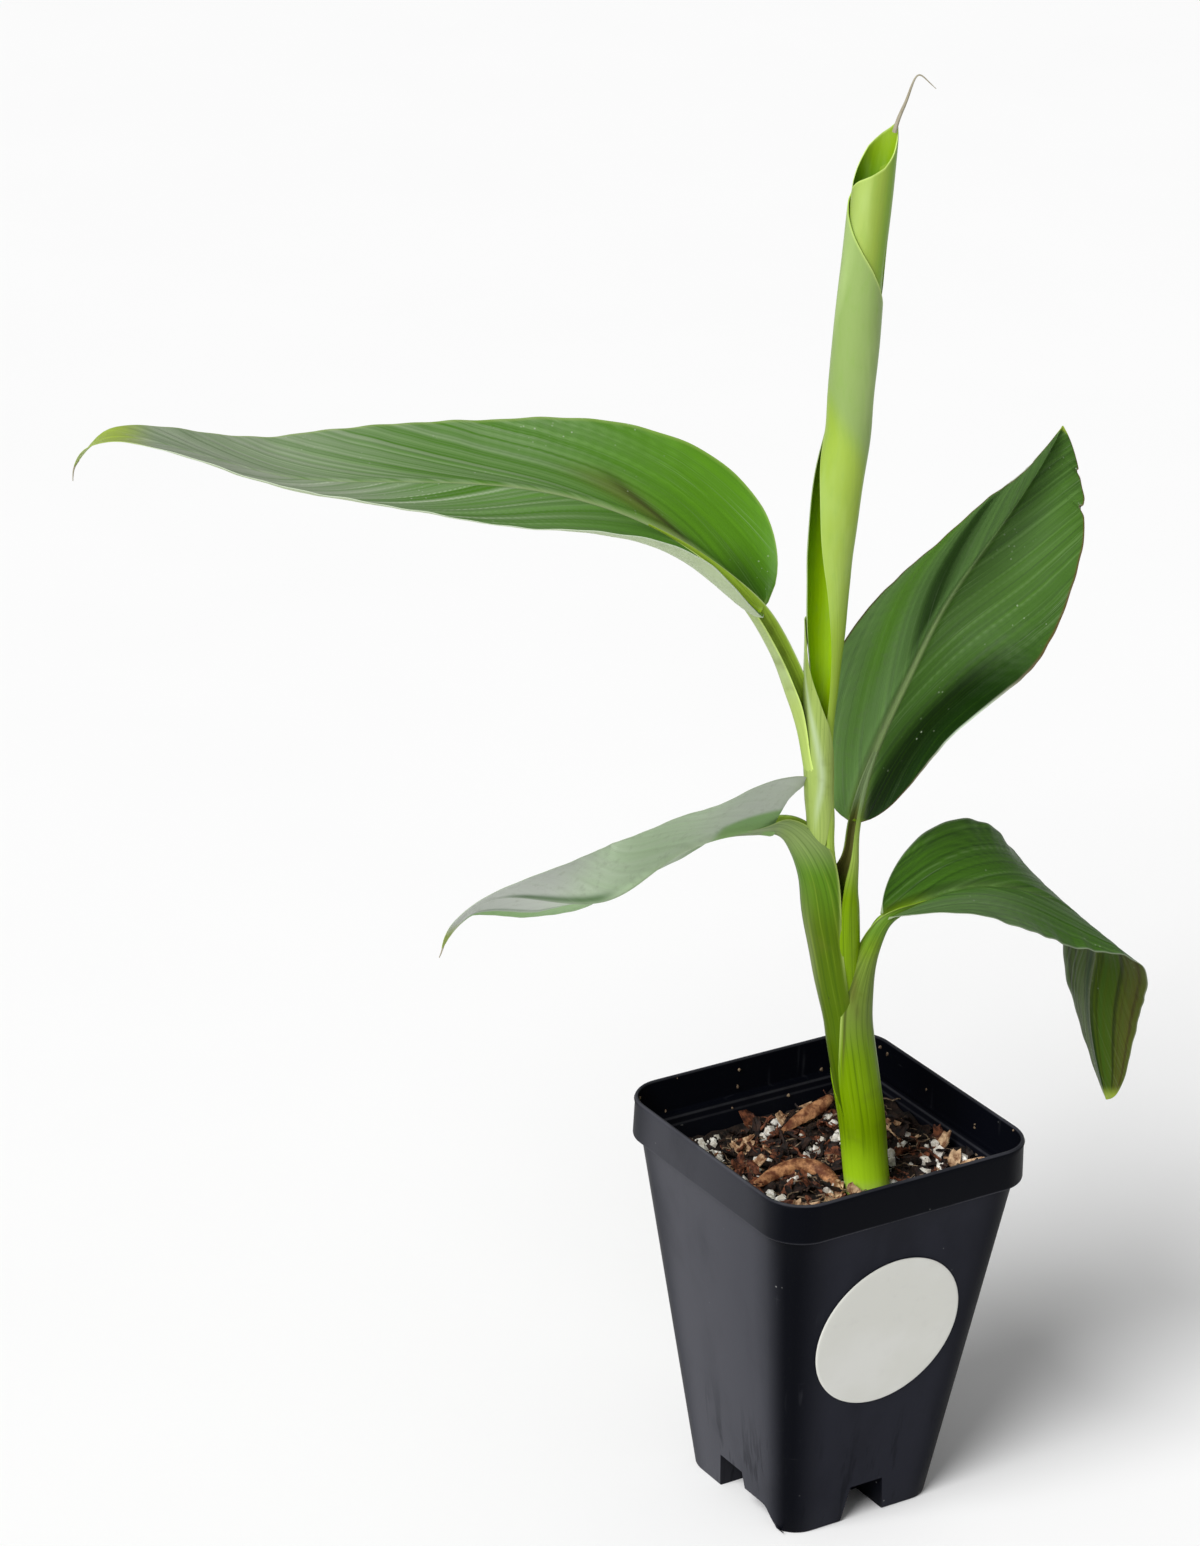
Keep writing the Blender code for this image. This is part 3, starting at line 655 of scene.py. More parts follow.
LEAVES = {
    "leaf_1": Leaf(
        rib=(
            (-30.0, -18.0, 319.0), (-56.0, -20.0, 342.0), (-83.0, -24.5, 355.5), (-109.0, -29.5, 362.0),
            (-145.5, -36.5, 364.5), (-177.0, -43.5, 367.5), (-210.5, -50.5, 378.5), (-231.0, -52.0, 380.0),
            (-239.0, -49.0, 370.5),
        ),
        left=39.0, right=40.0, widest=0.30, rise=3.2, taper=0.86, foot=(0.10, 0.10), keel=2.4,
        roll=(22, 7, 2, -3, -8, -5), fold=(28, 21, 6, 9, 7, 5), curl=(-60, -50, -48, -34, -22, -14),
        pleat=0.26, wavy=0.6,
    ),
    "leaf_2": Leaf(
        rib=(
            (3.3, 0.5, 241.0), (8.0, 12.0, 256.5), (19.5, 23.0, 282.5), (30.0, 28.0, 305.0),
            (44.0, 30.0, 328.0), (57.5, 32.0, 351.0), (63.0, 23.0, 368.5),
        ),
        left=33.0, right=39.0, widest=0.53, rise=1.8, taper=0.84, keel=2.2, face=(-0.5, -0.6, 0.6),
        roll=(-16, -22, -45, -53, -65), fold=(16, 39, 42, 48, 45), curl=(-4, -10, -29, -35, -14),
        slant=2.8, pleat=0.22,
        nicks=((1, 0.857, 0.006, 0.10), (1, 0.925, 0.005, 0.12), (1, 0.885, 0.014, -0.05),
               (1, 0.80, 0.03, -0.02)),
    ),
    "leaf_3": Leaf(
        rib=(
            (-20.8, -9.0, 241.2), (-30.8, -14.2, 244.2), (-49.0, -24.0, 242.5), (-61.5, -35.5, 238.0),
            (-74.5, -47.0, 233.0), (-93.0, -55.5, 235.5), (-108.5, -60.5, 238.0), (-117.5, -65.0, 235.0),
            (-125.5, -62.0, 221.0),
        ),
        left=25.0, right=24.0, widest=0.30, rise=3.2, taper=1.03, foot=(0.82, 0.42), keel=2.2,
        roll=(-45, -44, -49, -54, -46, -38), fold=(29, 5, 14, 20, -6, 11), curl=(15, 13, 20, 15, 10, 1),
        pleat=0.06, wavy=0.22, scoop=0.024,
    ),
    "leaf_4": Leaf(
        rib=(
            (14.0, -9.0, 212.0), (36.0, 7.0, 215.5), (55.0, 19.0, 212.0), (77.0, 34.5, 197.5),
            (88.0, 42.0, 182.5), (88.0, 45.5, 164.5), (91.0, 47.0, 139.5), (96.0, 47.0, 121.5),
        ),
        left=23.5, right=25.5, widest=0.27, rise=1.7, taper=0.50, keel=1.8, slant=4.5,
        roll=(-23, -29, -22, 0, 8, -2), fold=(43, 22, 0, 0, 24, 23), curl=(-27, -8, 6, 7, -6, -12),
    ),
}
LEAF_NODES = {"leaf_4": ("leaf_4", "leaf_4_tip")}

BASE_ROUNDING = 1.6
BLADE_EDGE_SHARE = 0.01
FRAME_STEPS = 97
LEAF_ROWS = 300
HALF_COLUMNS = 40
ROW_SWEEP = 0.88  # how far the grid's rows slant forward towards the margins
VEIN_BEND = 0.012  # how much farther forward a vein runs for each further millimetre
LILAC = np.array([0.50, 0.51, 0.49])
DULL_STALK = np.array([0.24, 0.31, 0.12])
OLIVE_STALK = np.array([0.15, 0.19, 0.055])


def outline(leaf, share, across):
    """Half width along the blade, as a share of the widest: a rounded foot and a tapering tip."""
    below = np.clip((leaf.widest - share) / leaf.widest, 0, 1)
    beyond = np.clip((share - leaf.widest) / (1 - leaf.widest), 0, 1)
    rise = (1 - below**leaf.rise) ** (1 / BASE_ROUNDING)
    fall = np.maximum(np.cos(beyond * math.pi / 2), 0) ** leaf.taper
    start = np.where(across < 0, *leaf.foot)
    foot = start + (1 - start) * rise
    tip = BLADE_EDGE_SHARE + (1 - BLADE_EDGE_SHARE) * fall
    width = np.where(share < leaf.widest, foot, tip)
    for side, place, half, depth in leaf.nicks:
        width = width * (1 - bump(share, place, half) * depth * (np.sign(across) == side))
    return width


def blade_surface(leaf, share, across, ripple):
    """Points of the blade's middle surface and its half width; across runs from -1 to 1."""
    steps = np.linspace(0.0, 1.0, FRAME_STEPS)
    path = even_curve(leaf.rib, steps)
    path, up, right = (
        read_columns(share, steps, table) for table in (path, *carried_frame(path, leaf.face))
    )
    roll, fold, curl = (
        np.radians(cubic(np.linspace(0, 1, len(turns)), turns, share.ravel())).reshape(share.shape)
        for turns in (leaf.roll, leaf.fold, leaf.curl)
    )
    curl = np.where(np.abs(curl) < 1e-4, 1e-4, curl)
    lifted = np.cos(roll)[..., None] * up - np.sin(roll)[..., None] * right
    sideways = np.cos(roll)[..., None] * right + np.sin(roll)[..., None] * up
    reach = np.abs(across)
    start = fold + curl / 2
    out = (np.sin(start) - np.sin(start - curl * reach)) / curl
    rise = (np.cos(start - curl * reach) - np.cos(start)) / curl
    width = outline(leaf, share, across) * np.where(across < 0, leaf.left, leaf.right)
    lift = ripple * leaf.wavy * reach**3 * np.sin(math.pi * share) ** 0.5
    lift = lift * waves(share + 0.31 * (across < 0), 4, 11, 0.055, 0.30)
    place = path + (width * out * np.sign(across))[..., None] * sideways
    return place + (width * rise + lift)[..., None] * lifted, width


def leaf_1_tints(c, share, across, span, vein, streak, broad):
    """The long level leaf: waxy towards its tip, with painted shade along one crease across its far half and
    at its foot.
    """
    far, near = across > 0, across <= 0
    grey = 0.34 + 0.95 * ease(share, 0.45, 0.80) + 0.35 * broad + 0.60 * streak
    bow = 0.052 * span**2
    # Painted shade: a dark line along a crease that the blade's surface does not have.
    crease = bump(vein, 29.0 - bow, 3.2) * far * ease(span, 0.5, 3.0) * ease(span, 26.0, 10.0)
    upper = coats(
        c.leaf,
        (c.leaf_bright, 0.30 * ease(streak, -0.1, 0.6)),
        (c.leaf_bright * 0.8, 0.45 * far * ease(share, 0.36, 0.10)),
        (c.bloom, grey * ease(share, 0.14, 0.42) * (0.55 + 0.20 * near)),
        (c.leaf_dark, 0.95 * crease),
        (c.brown, 0.50 * far * bump(vein, 34.0 - bow, 9.0) * ease(span, 26.0, 12.0)),
        # Painted shade at the foot, on the far half and beside the midrib.
        (c.leaf_dark, 0.60 * far * ease(share, 0.11, 0.04) * ease(span, 22.0, 6.0)),
        (c.leaf_dark, 0.45 * bump(span, 3.6, 2.0) * bump(share, 0.13, 0.10)),
        (c.leaf * 1.3, 0.7 * near * ease(broad, -0.1, 0.5) * ease(share, 0.62, 0.45)),
        (c.bloom * 1.7, 0.7 * near * bump(streak, 0.55, 0.14) * bump(share, 0.55, 0.13)),
    )
    return upper, coats(c.under, (c.sheath, 0.4))


def leaf_2_tints(c, share, across, span, vein, streak, broad):
    """The upright leaf: a paler half, painted brighter, with a painted lit foot and painted shade in a fold,
    and a half in painted shade below.
    """
    reach, lower, pale = np.abs(across), across > 0, across <= 0
    # Painted shadow in a fold of the pale half.
    patch = pale * bump(vein, 59.0, 15.0) * ease(reach, 0.95, 0.65) * ease(reach, 0.03, 0.12)
    shade = lower * ease(vein, 26.0, -12.0) * ease(reach, 0.10, 0.28) * ease(share, 0.62, 0.36)
    plain = coats(
        c.leaf * 0.92,
        (c.leaf_bright, 0.22 * ease(streak, 0.0, 0.6)),
        (c.leaf_dark, 0.30 * ease(streak, 0.0, -0.6)),
        (c.leaf_bright * 0.6, lower * 0.18 * ease(vein, 20.0, 50.0) * ease(vein, 100.0, 60.0)),
    )
    upper = coats(
        # Painted light: the plain colour doubled on the pale half and dimmed on the lower half.
        plain * np.where(lower, 0.66, 2.00)[..., None],
        (c.bloom, 0.04 + 0.10 * ease(streak, 0.2, 0.7) + 0.24 * pale),
        # Painted light on the foot of the pale half.
        (c.leaf_bright, 0.65 * pale * bump(vein, 12.0, 17.0) * ease(reach, 0.25, 0.50)),
        (c.leaf_dark * 0.9, 0.88 * patch),
        (c.leaf_dark * 0.25, 0.98 * shade),
        # Painted shade along the lower half's margin.
        (c.leaf_dark, 0.45 * lower * ease(reach, 0.55, 0.90) * ease(share, 0.75, 0.5)),
    )
    return upper, coats(c.under, (c.bloom, 0.3))


def leaf_3_tints(c, share, across, span, vein, streak, broad):
    """The lower leaf: its underside is lilac at both ends, with a green turned edge and collar."""
    reach, right = np.abs(across), across > 0
    mottle = waves(vein + 0.7 * span, 5, 13, 4.0, 14.0)
    edge = np.interp(share, (0.42, 0.52, 0.58, 0.62, 0.66, 0.80), (-0.1, -0.1, 0.0, 0.50, 0.72, 0.74))
    turned = right * ease(share, 0.42, 0.50) * ease(across - edge, 0.0, 0.07)
    # Painted shade in the crease beside the midrib and along the turned edge.
    crease = bump(across, -0.05, 0.07) * ease(share, 0.47, 0.55) * ease(share, 0.82, 0.72)
    crease = crease + 0.6 * right * bump(across - edge, -0.04, 0.05) * ease(share, 0.56, 0.62)
    collar = np.interp(share, (0.0, 0.03, 0.08, 0.16, 0.24), (0.44, 0.34, 0.24, 0.12, -0.1))
    collar = np.maximum(right, ease(collar - reach, -0.05, 0.05)) * ease(share, 0.24, 0.16)
    under = coats(
        c.under * 1.36,
        (c.bloom * 1.05, 0.32 + 0.16 * mottle),
        (c.leaf * 2.6, 0.22 * (bump(share, 0.40, 0.20) + 0.3 * broad)),
        (LILAC, 0.65 * ease(share, 0.56, 0.70) + 0.55 * ease(share, 0.28, 0.08)),
        (c.leaf * 1.8 + c.bloom * 0.3, 0.80 * turned),
        (c.leaf_dark * 3.0, 0.75 * crease),
        (c.leaf * 1.5 + c.bloom * 0.25, 0.85 * collar),
    )
    return coats(c.leaf, (c.leaf_bright, 0.25 * ease(streak, 0.0, 0.6))), under


def leaf_4_tints(c, share, across, span, vein, streak, broad):
    """The oldest leaf: dark above, and in olive strips under the hanging end, which is darkened as painted
    shade.
    """
    reach, right, left = np.abs(across), across > 0, across <= 0
    near = right * ease(share, 0.40, 0.20) * ease(reach, 0.05, 0.30)
    strips = waves(across * 10.0 + 0.1 * streak, 5, 21, 1.2, 6.0)
    upper = coats(
        c.leaf * 0.72,
        (c.leaf_bright, 0.22 * ease(streak, 0.0, 0.6)),
        (c.leaf_dark, 0.50 * ease(streak, 0.0, -0.6)),
        (c.bloom * 0.75, 0.16 * ease(streak, 0.25, 0.7) + 0.20 * near),
        (c.leaf_dark, 0.45 * bump(across, 0.03, 0.05) * ease(share, 0.16, 0.08)),
    )
    under = coats(
        c.under_in_shade * 0.8,
        (c.leaf * 0.6, 0.6 * ease(strips, -0.4, 0.5)),
        (c.leaf_dark * 0.7, 0.8 * ease(strips, -0.05, -0.5)),
        # Painted shadow beside the midrib under the hanging end.
        (c.leaf_dark, 0.9 * bump(across, -0.14, 0.06) * ease(share, 0.5, 0.6)),
        (c.margin * 1.2, 0.28 * right * ease(reach, 0.30, 0.80)),
        (c.bloom * 0.5, 0.6 * left * ease(reach, 0.88, 0.96)),
    )
    return upper, under


def leaf_tints(name, colours, share, across, span, vein):
    """Base colours of a blade's upper side and its underside."""
    c = palette(colours)
    streak, broad = waves(vein, 6, 3, 4.0, 20.0), waves(vein, 4, 9, 9.0, 50.0)
    tints, rib_above, rib_below, tip = {
        "leaf_1": (leaf_1_tints, 0.85, 0.75, 0.865),
        "leaf_2": (leaf_2_tints, 0.80, 0.75, 0.985),
        "leaf_3": (leaf_3_tints, 0.70, 0.10, 0.90),
        "leaf_4": (leaf_4_tints, 0.14, 0.75, 0.965),
    }[name]
    upper, under = tints(c, share, across, span, vein, streak, broad)
    on_rib = bump(span, 0.0, 0.6 + 1.4 * ease(share, 0.55, 0.0))
    upper = coats(
        upper,
        (c.rib, rib_above * on_rib * ease(share, 0.90, 0.30)),
        (c.groove, on_rib * ease(share, 0.14, 0.0)),
    )
    under = coats(under, (c.sheath, rib_below * on_rib * ease(share, 0.9, 0.2)))
    reach, right = np.abs(across), across > 0
    rim = ease(reach, 0.965, 0.995)
    edges = {
        "leaf_1": ((c.bloom * 1.5, 0.9 * rim * ~right), (c.sheath, 0.35 * rim * right)),
        "leaf_2": (
            (c.margin, 0.85 * rim),
            (c.under * 1.2, right * ease(reach, 0.975, 0.99) * bump(share, 0.30, 0.13)),
        ),
    }.get(name, ((c.bloom, 0.6 * rim),))
    yellow = (c.tip, 0.9 * ease(share, tip, min(0.995, tip + 0.06)))
    return np.stack([coats(side, *edges, yellow) for side in (upper, under)])


def leaf_mesh(name, leaf, sizes, colours):
    """A blade with its grooved midrib above and keel below; lateral veins are added by a node tree."""
    row = np.linspace(0.0, 1.0, LEAF_ROWS)[:, None]
    step = np.linspace(-1.0, 1.0, 2 * HALF_COLUMNS + 1)[None, :]
    across = np.sign(step) * np.abs(step) ** 1.35 * np.ones_like(row)
    share = row + ROW_SWEEP * np.abs(across) ** 1.15 * row * (1 - row)
    share = share + leaf.scoop * ease(np.abs(across), 1.0, 0.5) * (1 - row) ** 4
    middle, width = blade_surface(leaf, share, across, sizes.ripple / MM)
    span = np.abs(across) * width
    rib = ease(share, 1.02, 0.0)
    groove = (0.25 + 0.85 * rib) * bump(span, 0.0, 0.5 + 1.1 * rib) * ease(width, 1.5, 8.0)
    shoulder = 0.25 * bump(span, 1.2 + 1.6 * rib, 0.8) * rib * ease(width, 3.0, 9.0)
    keel = (0.15 + leaf.keel * rib**2.0) * bump(span, 0.0, 0.5 + 1.3 * rib)
    keel = np.minimum(keel, 0.6 * width)
    vein = share * run_length(leaf.rib) - leaf.slant * span - VEIN_BEND * span**2
    pleat = leaf.pleat * waves(vein, 5, 29, 9.0, 30.0) * ease(span, 2.0, 9.0)
    pleat = pleat * ease(np.abs(across), 1.02, 0.7)
    thickness = sizes.blade_thickness / MM * (1.0 - 0.55 * np.abs(across)) * ease(share, 1.25, 0.8)
    normal = facing(middle)
    upper = middle + normal * (thickness / 2 - groove + shoulder + pleat)[..., None]
    lower = middle - normal * (thickness / 2 + keel - pleat)[..., None]
    uv = np.stack([across * width, vein], axis=-1) * MM
    mesh = grid_skin(name + "_blade", upper, lower, uv, leaf_tints(name, colours, share, across, span, vein))
    relief = min(1.0, leaf.pleat / 0.2) * ease(span, 1.5, 5.0)
    relief = relief * ease(np.abs(across), 1.0, 0.85) * ease(share, 1.0, 0.9)
    set_points(mesh, "vein", "FLOAT", "value", np.stack([vein, vein]) * MM)
    set_points(mesh, "rise", "FLOAT", "value", np.stack([relief, -relief]))
    return mesh


class Growth(Nodes):
    """A Geometry Nodes tree with named inputs; it ends in real shapes with their skin."""

    def __init__(self, name, **inputs):
        super().__init__(bpy.data.node_groups.new(name, "GeometryNodeTree"))
        face = self.tree.interface
        face.new_socket("Geometry", in_out="OUTPUT", socket_type="NodeSocketGeometry")
        for key, kind in {"Geometry": "Geometry", **inputs, "Skin": "Material"}.items():
            face.new_socket(key, in_out="INPUT", socket_type="NodeSocket" + kind)
        self.given = self.add("NodeGroupInput").outputs

    def attribute(self, name):
        return self.add("GeometryNodeInputNamedAttribute", {"Name": name}, data_type="FLOAT").outputs[0]

    def chance(self, low, high, salt):
        inputs = {"Min": low, "Max": high, "Seed": self.plus(self.given["Seed"], salt)}
        return self.add("FunctionNodeRandomValue", inputs, data_type="FLOAT").outputs["Value"]

    def done(self, shape):
        real = self.add("GeometryNodeRealizeInstances", {"Geometry": shape}).outputs[0]
        dressed = {"Geometry": real, "Material": self.given["Skin"]}
        dressed = self.add("GeometryNodeSetMaterial", dressed).outputs[0]
        self.add("NodeGroupOutput", {"Geometry": dressed})
        return self.tree


def vein_tree():
    """Node tree that raises evenly spaced veins on a blade, from its vein and rise attributes."""
    tree = Growth("Lateral Veins", Spacing="Float", Depth="Float")
    turns = tree.maths("DIVIDE", tree.attribute("vein"), tree.given["Spacing"])
    wave = tree.maths("SINE", tree.times(turns, 2 * math.pi))
    height = tree.times(wave, tree.attribute("rise"), tree.given["Depth"])
    out = {"Vector": tree.add("GeometryNodeInputNormal").outputs["Normal"], "Scale": height}
    out = tree.add("ShaderNodeVectorMath", out, operation="SCALE").outputs["Vector"]
    moved = tree.add("GeometryNodeSetPosition", {"Geometry": tree.given["Geometry"], "Offset": out})
    return tree.done(moved.outputs[0])


def grow(obj, tree, **inputs):
    """Runs a node tree on an object, its inputs set by their sockets' identifiers."""
    modifier = obj.modifiers.new(tree.name, "NODES")
    modifier.node_group = tree
    for item in tree.interface.items_tree:
        if item.item_type == "SOCKET" and item.in_out == "INPUT" and item.name in inputs:
            modifier[item.identifier] = inputs[item.name]
    obj.update_tag()
    bpy.context.view_layer.update()
    return made_plain(obj)


# ---------------------------------------------------------------- sheaths, stalks and the furled leaf


class Wrap(NamedTuple):
    """A strip wrapped round a path, from its near margin over its back to its far margin."""

    stations: tuple  # middle (three numbers), half width, near margin, far margin, thickness
    nodes: tuple = ()  # the nodes that it stands for
    rim: tuple = ((0.0, 1.0), (1.0, 1.0))  # share of the path reached, over the strip's own width
    swell: float = 0.0  # how much farther out the near margin lies than the far one
    flat: float = 0.93  # depth from front to back, as a share of the width
    rows: int = 150
    columns: int = 72


SHEATHS = {
    "stem_sheath_4": Wrap(
        nodes=("pseudostem", "leaf_stalk_4"),
        stations=(
            (13.9, -6.9, 110.0, 7.6, -125, 235, 2.0), (13.6, -7.0, 113.5, 7.5, -125, 235, 2.0),
            (12.3, -7.5, 124.0, 7.55, -126, 235, 1.6), (10.6, -8.0, 138.2, 7.7, -132, 232, 1.4),
            (8.9, -8.5, 148.0, 7.8, -136, 210, 1.2), (6.8, -9.0, 159.3, 7.9, -131, 165, 1.2),
            (4.9, -9.7, 170.0, 7.95, -117, 140, 1.2), (4.0, -10.0, 177.5, 7.95, -110, 128, 1.2),
            (4.6, -10.2, 187.0, 7.3, -114, 112, 1.3), (6.9, -10.2, 195.5, 5.4, -132, 108, 1.5),
            (9.0, -10.0, 201.0, 4.1, -150, 112, 1.7), (11.3, -9.6, 206.5, 3.3, -155, 122, 1.8),
            (13.9, -9.0, 210.8, 2.7, -140, 128, 1.8), (18.0, -6.6, 213.2, 2.2, -112, 110, 1.5),
            (24.0, -2.4, 214.0, 1.6, -95, 95, 1.1), (32.0, 3.6, 214.6, 1.0, -85, 85, 0.8),
        ),
    ),
    "stem_sheath_3": Wrap(
        nodes=("leaf_stalk_3",),
        stations=(
            (12.6, -7.4, 121.0, 6.9, -75, -420, 1.0), (10.7, -8.0, 137.0, 7.1, -75, -415, 1.2),
            (8.6, -8.6, 149.0, 7.4, -75, -400, 1.2), (6.6, -9.1, 160.0, 7.55, -75, -398, 1.2),
            (4.2, -9.9, 172.0, 7.4, -75, -395, 1.2), (3.4, -10.0, 177.0, 7.45, -75, -390, 1.2),
            (0.2, -10.4, 192.4, 8.1, -72, -330, 1.2), (-1.6, -10.5, 201.4, 8.2, -70, -305, 1.2),
            (-3.4, -10.5, 211.0, 8.6, -66, -290, 1.3), (-4.9, -10.6, 219.0, 8.5, -58, -285, 1.4),
            (-6.7, -10.8, 226.6, 7.7, -46, -290, 1.5), (-9.6, -10.8, 233.6, 6.8, -28, -310, 1.7),
            (-13.2, -10.6, 238.8, 5.7, -22, -325, 1.9), (-17.2, -9.9, 242.2, 4.5, -30, -328, 2.0),
            (-21.4, -9.6, 243.4, 3.5, -50, -312, 2.0), (-27.0, -12.4, 243.6, 2.6, -75, -290, 1.6),
            (-35.0, -16.8, 243.8, 1.7, -88, -272, 1.1), (-45.0, -21.9, 242.8, 1.0, -90, -270, 0.7),
        ),
    ),
    "stem_sheath_2": Wrap(
        nodes=("leaf_stalk_2",),
        stations=(
            (4.8, -9.7, 168.0, 6.5, -120, 236, 1.0), (0.6, -10.3, 190.0, 6.9, -112, 230, 1.0),
            (-1.2, -10.4, 205.0, 7.7, -100, 218, 1.1), (-1.6, -10.2, 213.0, 7.6, -86, 200, 1.1),
            (-1.2, -9.4, 219.5, 6.8, -80, 180, 1.1), (0.4, -8.0, 225.0, 4.9, -86, 172, 1.2),
            (1.9, -6.3, 230.0, 3.2, -88, 185, 1.3), (2.5, -4.2, 234.6, 2.4, -84, 200, 1.3),
            (2.9, -1.6, 239.0, 2.2, -80, 205, 1.3), (4.0, 2.4, 244.0, 2.0, -82, 200, 1.2),
            (6.2, 8.2, 251.0, 1.5, -90, 180, 0.9), (9.6, 14.0, 259.6, 0.9, -90, 180, 0.7),
        ),
        flat=1.0,
    ),
    "stem_sheath_1": Wrap(
        nodes=("leaf_stalk_1",),
        stations=(
            (-2.4, -10.5, 205.0, 6.2, -98, -440, 1.0), (-6.2, -10.5, 226.0, 4.8, -98, -430, 0.9),
            (-7.7, -10.5, 238.0, 4.35, -98, -425, 0.8), (-7.9, -10.5, 245.6, 4.3, -97, -420, 0.8),
            (-8.4, -10.5, 251.2, 4.35, -97, -405, 0.7), (-8.9, -10.5, 257.5, 4.45, -99, -375, 0.7),
            (-9.6, -10.5, 263.5, 4.7, -107, -360, 0.8), (-10.7, -10.5, 269.5, 4.75, -112, -352, 0.9),
            (-12.6, -10.8, 277.4, 4.6, -106, -347, 1.1), (-15.7, -11.4, 286.3, 4.3, -93, -345, 1.5),
            (-17.5, -11.8, 290.6, 4.1, -90, -345, 1.7), (-22.2, -13.3, 302.0, 3.6, -94, -345, 2.0),
            (-25.8, -15.0, 309.5, 3.5, -96, -342, 2.1), (-30.8, -17.8, 318.4, 3.3, -94, -325, 2.0),
            (-40.0, -19.0, 329.3, 2.5, -91, -290, 1.6), (-52.0, -19.7, 339.2, 1.7, -90, -273, 1.1),
            (-66.0, -21.4, 347.5, 1.0, -90, -270, 0.7),
        ),
    ),
    "sheath_wing": Wrap(
        stations=(
            (-7.9, -10.5, 236.0, 4.1, -75, -215, 0.4), (-7.9, -10.5, 242.0, 4.45, -62, -215, 0.4),
            (-8.2, -10.5, 248.0, 4.65, -50, -215, 0.4), (-8.9, -10.5, 254.0, 4.75, -24, -215, 0.4),
            (-9.3, -10.5, 260.0, 4.8, -5, -215, 0.4), (-9.7, -10.4, 266.0, 4.9, -8, -215, 0.4),
            (-9.9, -10.4, 273.0, 5.05, -32, -215, 0.4), (-10.1, -10.4, 280.0, 5.3, -58, -215, 0.4),
            (-10.2, -10.3, 285.0, 5.35, -80, -215, 0.4), (-10.3, -10.2, 290.0, 5.4, -99, -215, 0.4),
            (-10.5, -10.2, 299.0, 5.45, -133, -215, 0.4), (-10.6, -10.0, 308.0, 5.5, -157, -215, 0.4),
            (-10.8, -10.0, 314.0, 5.6, -172, -215, 0.35),
        ),
    ),
}

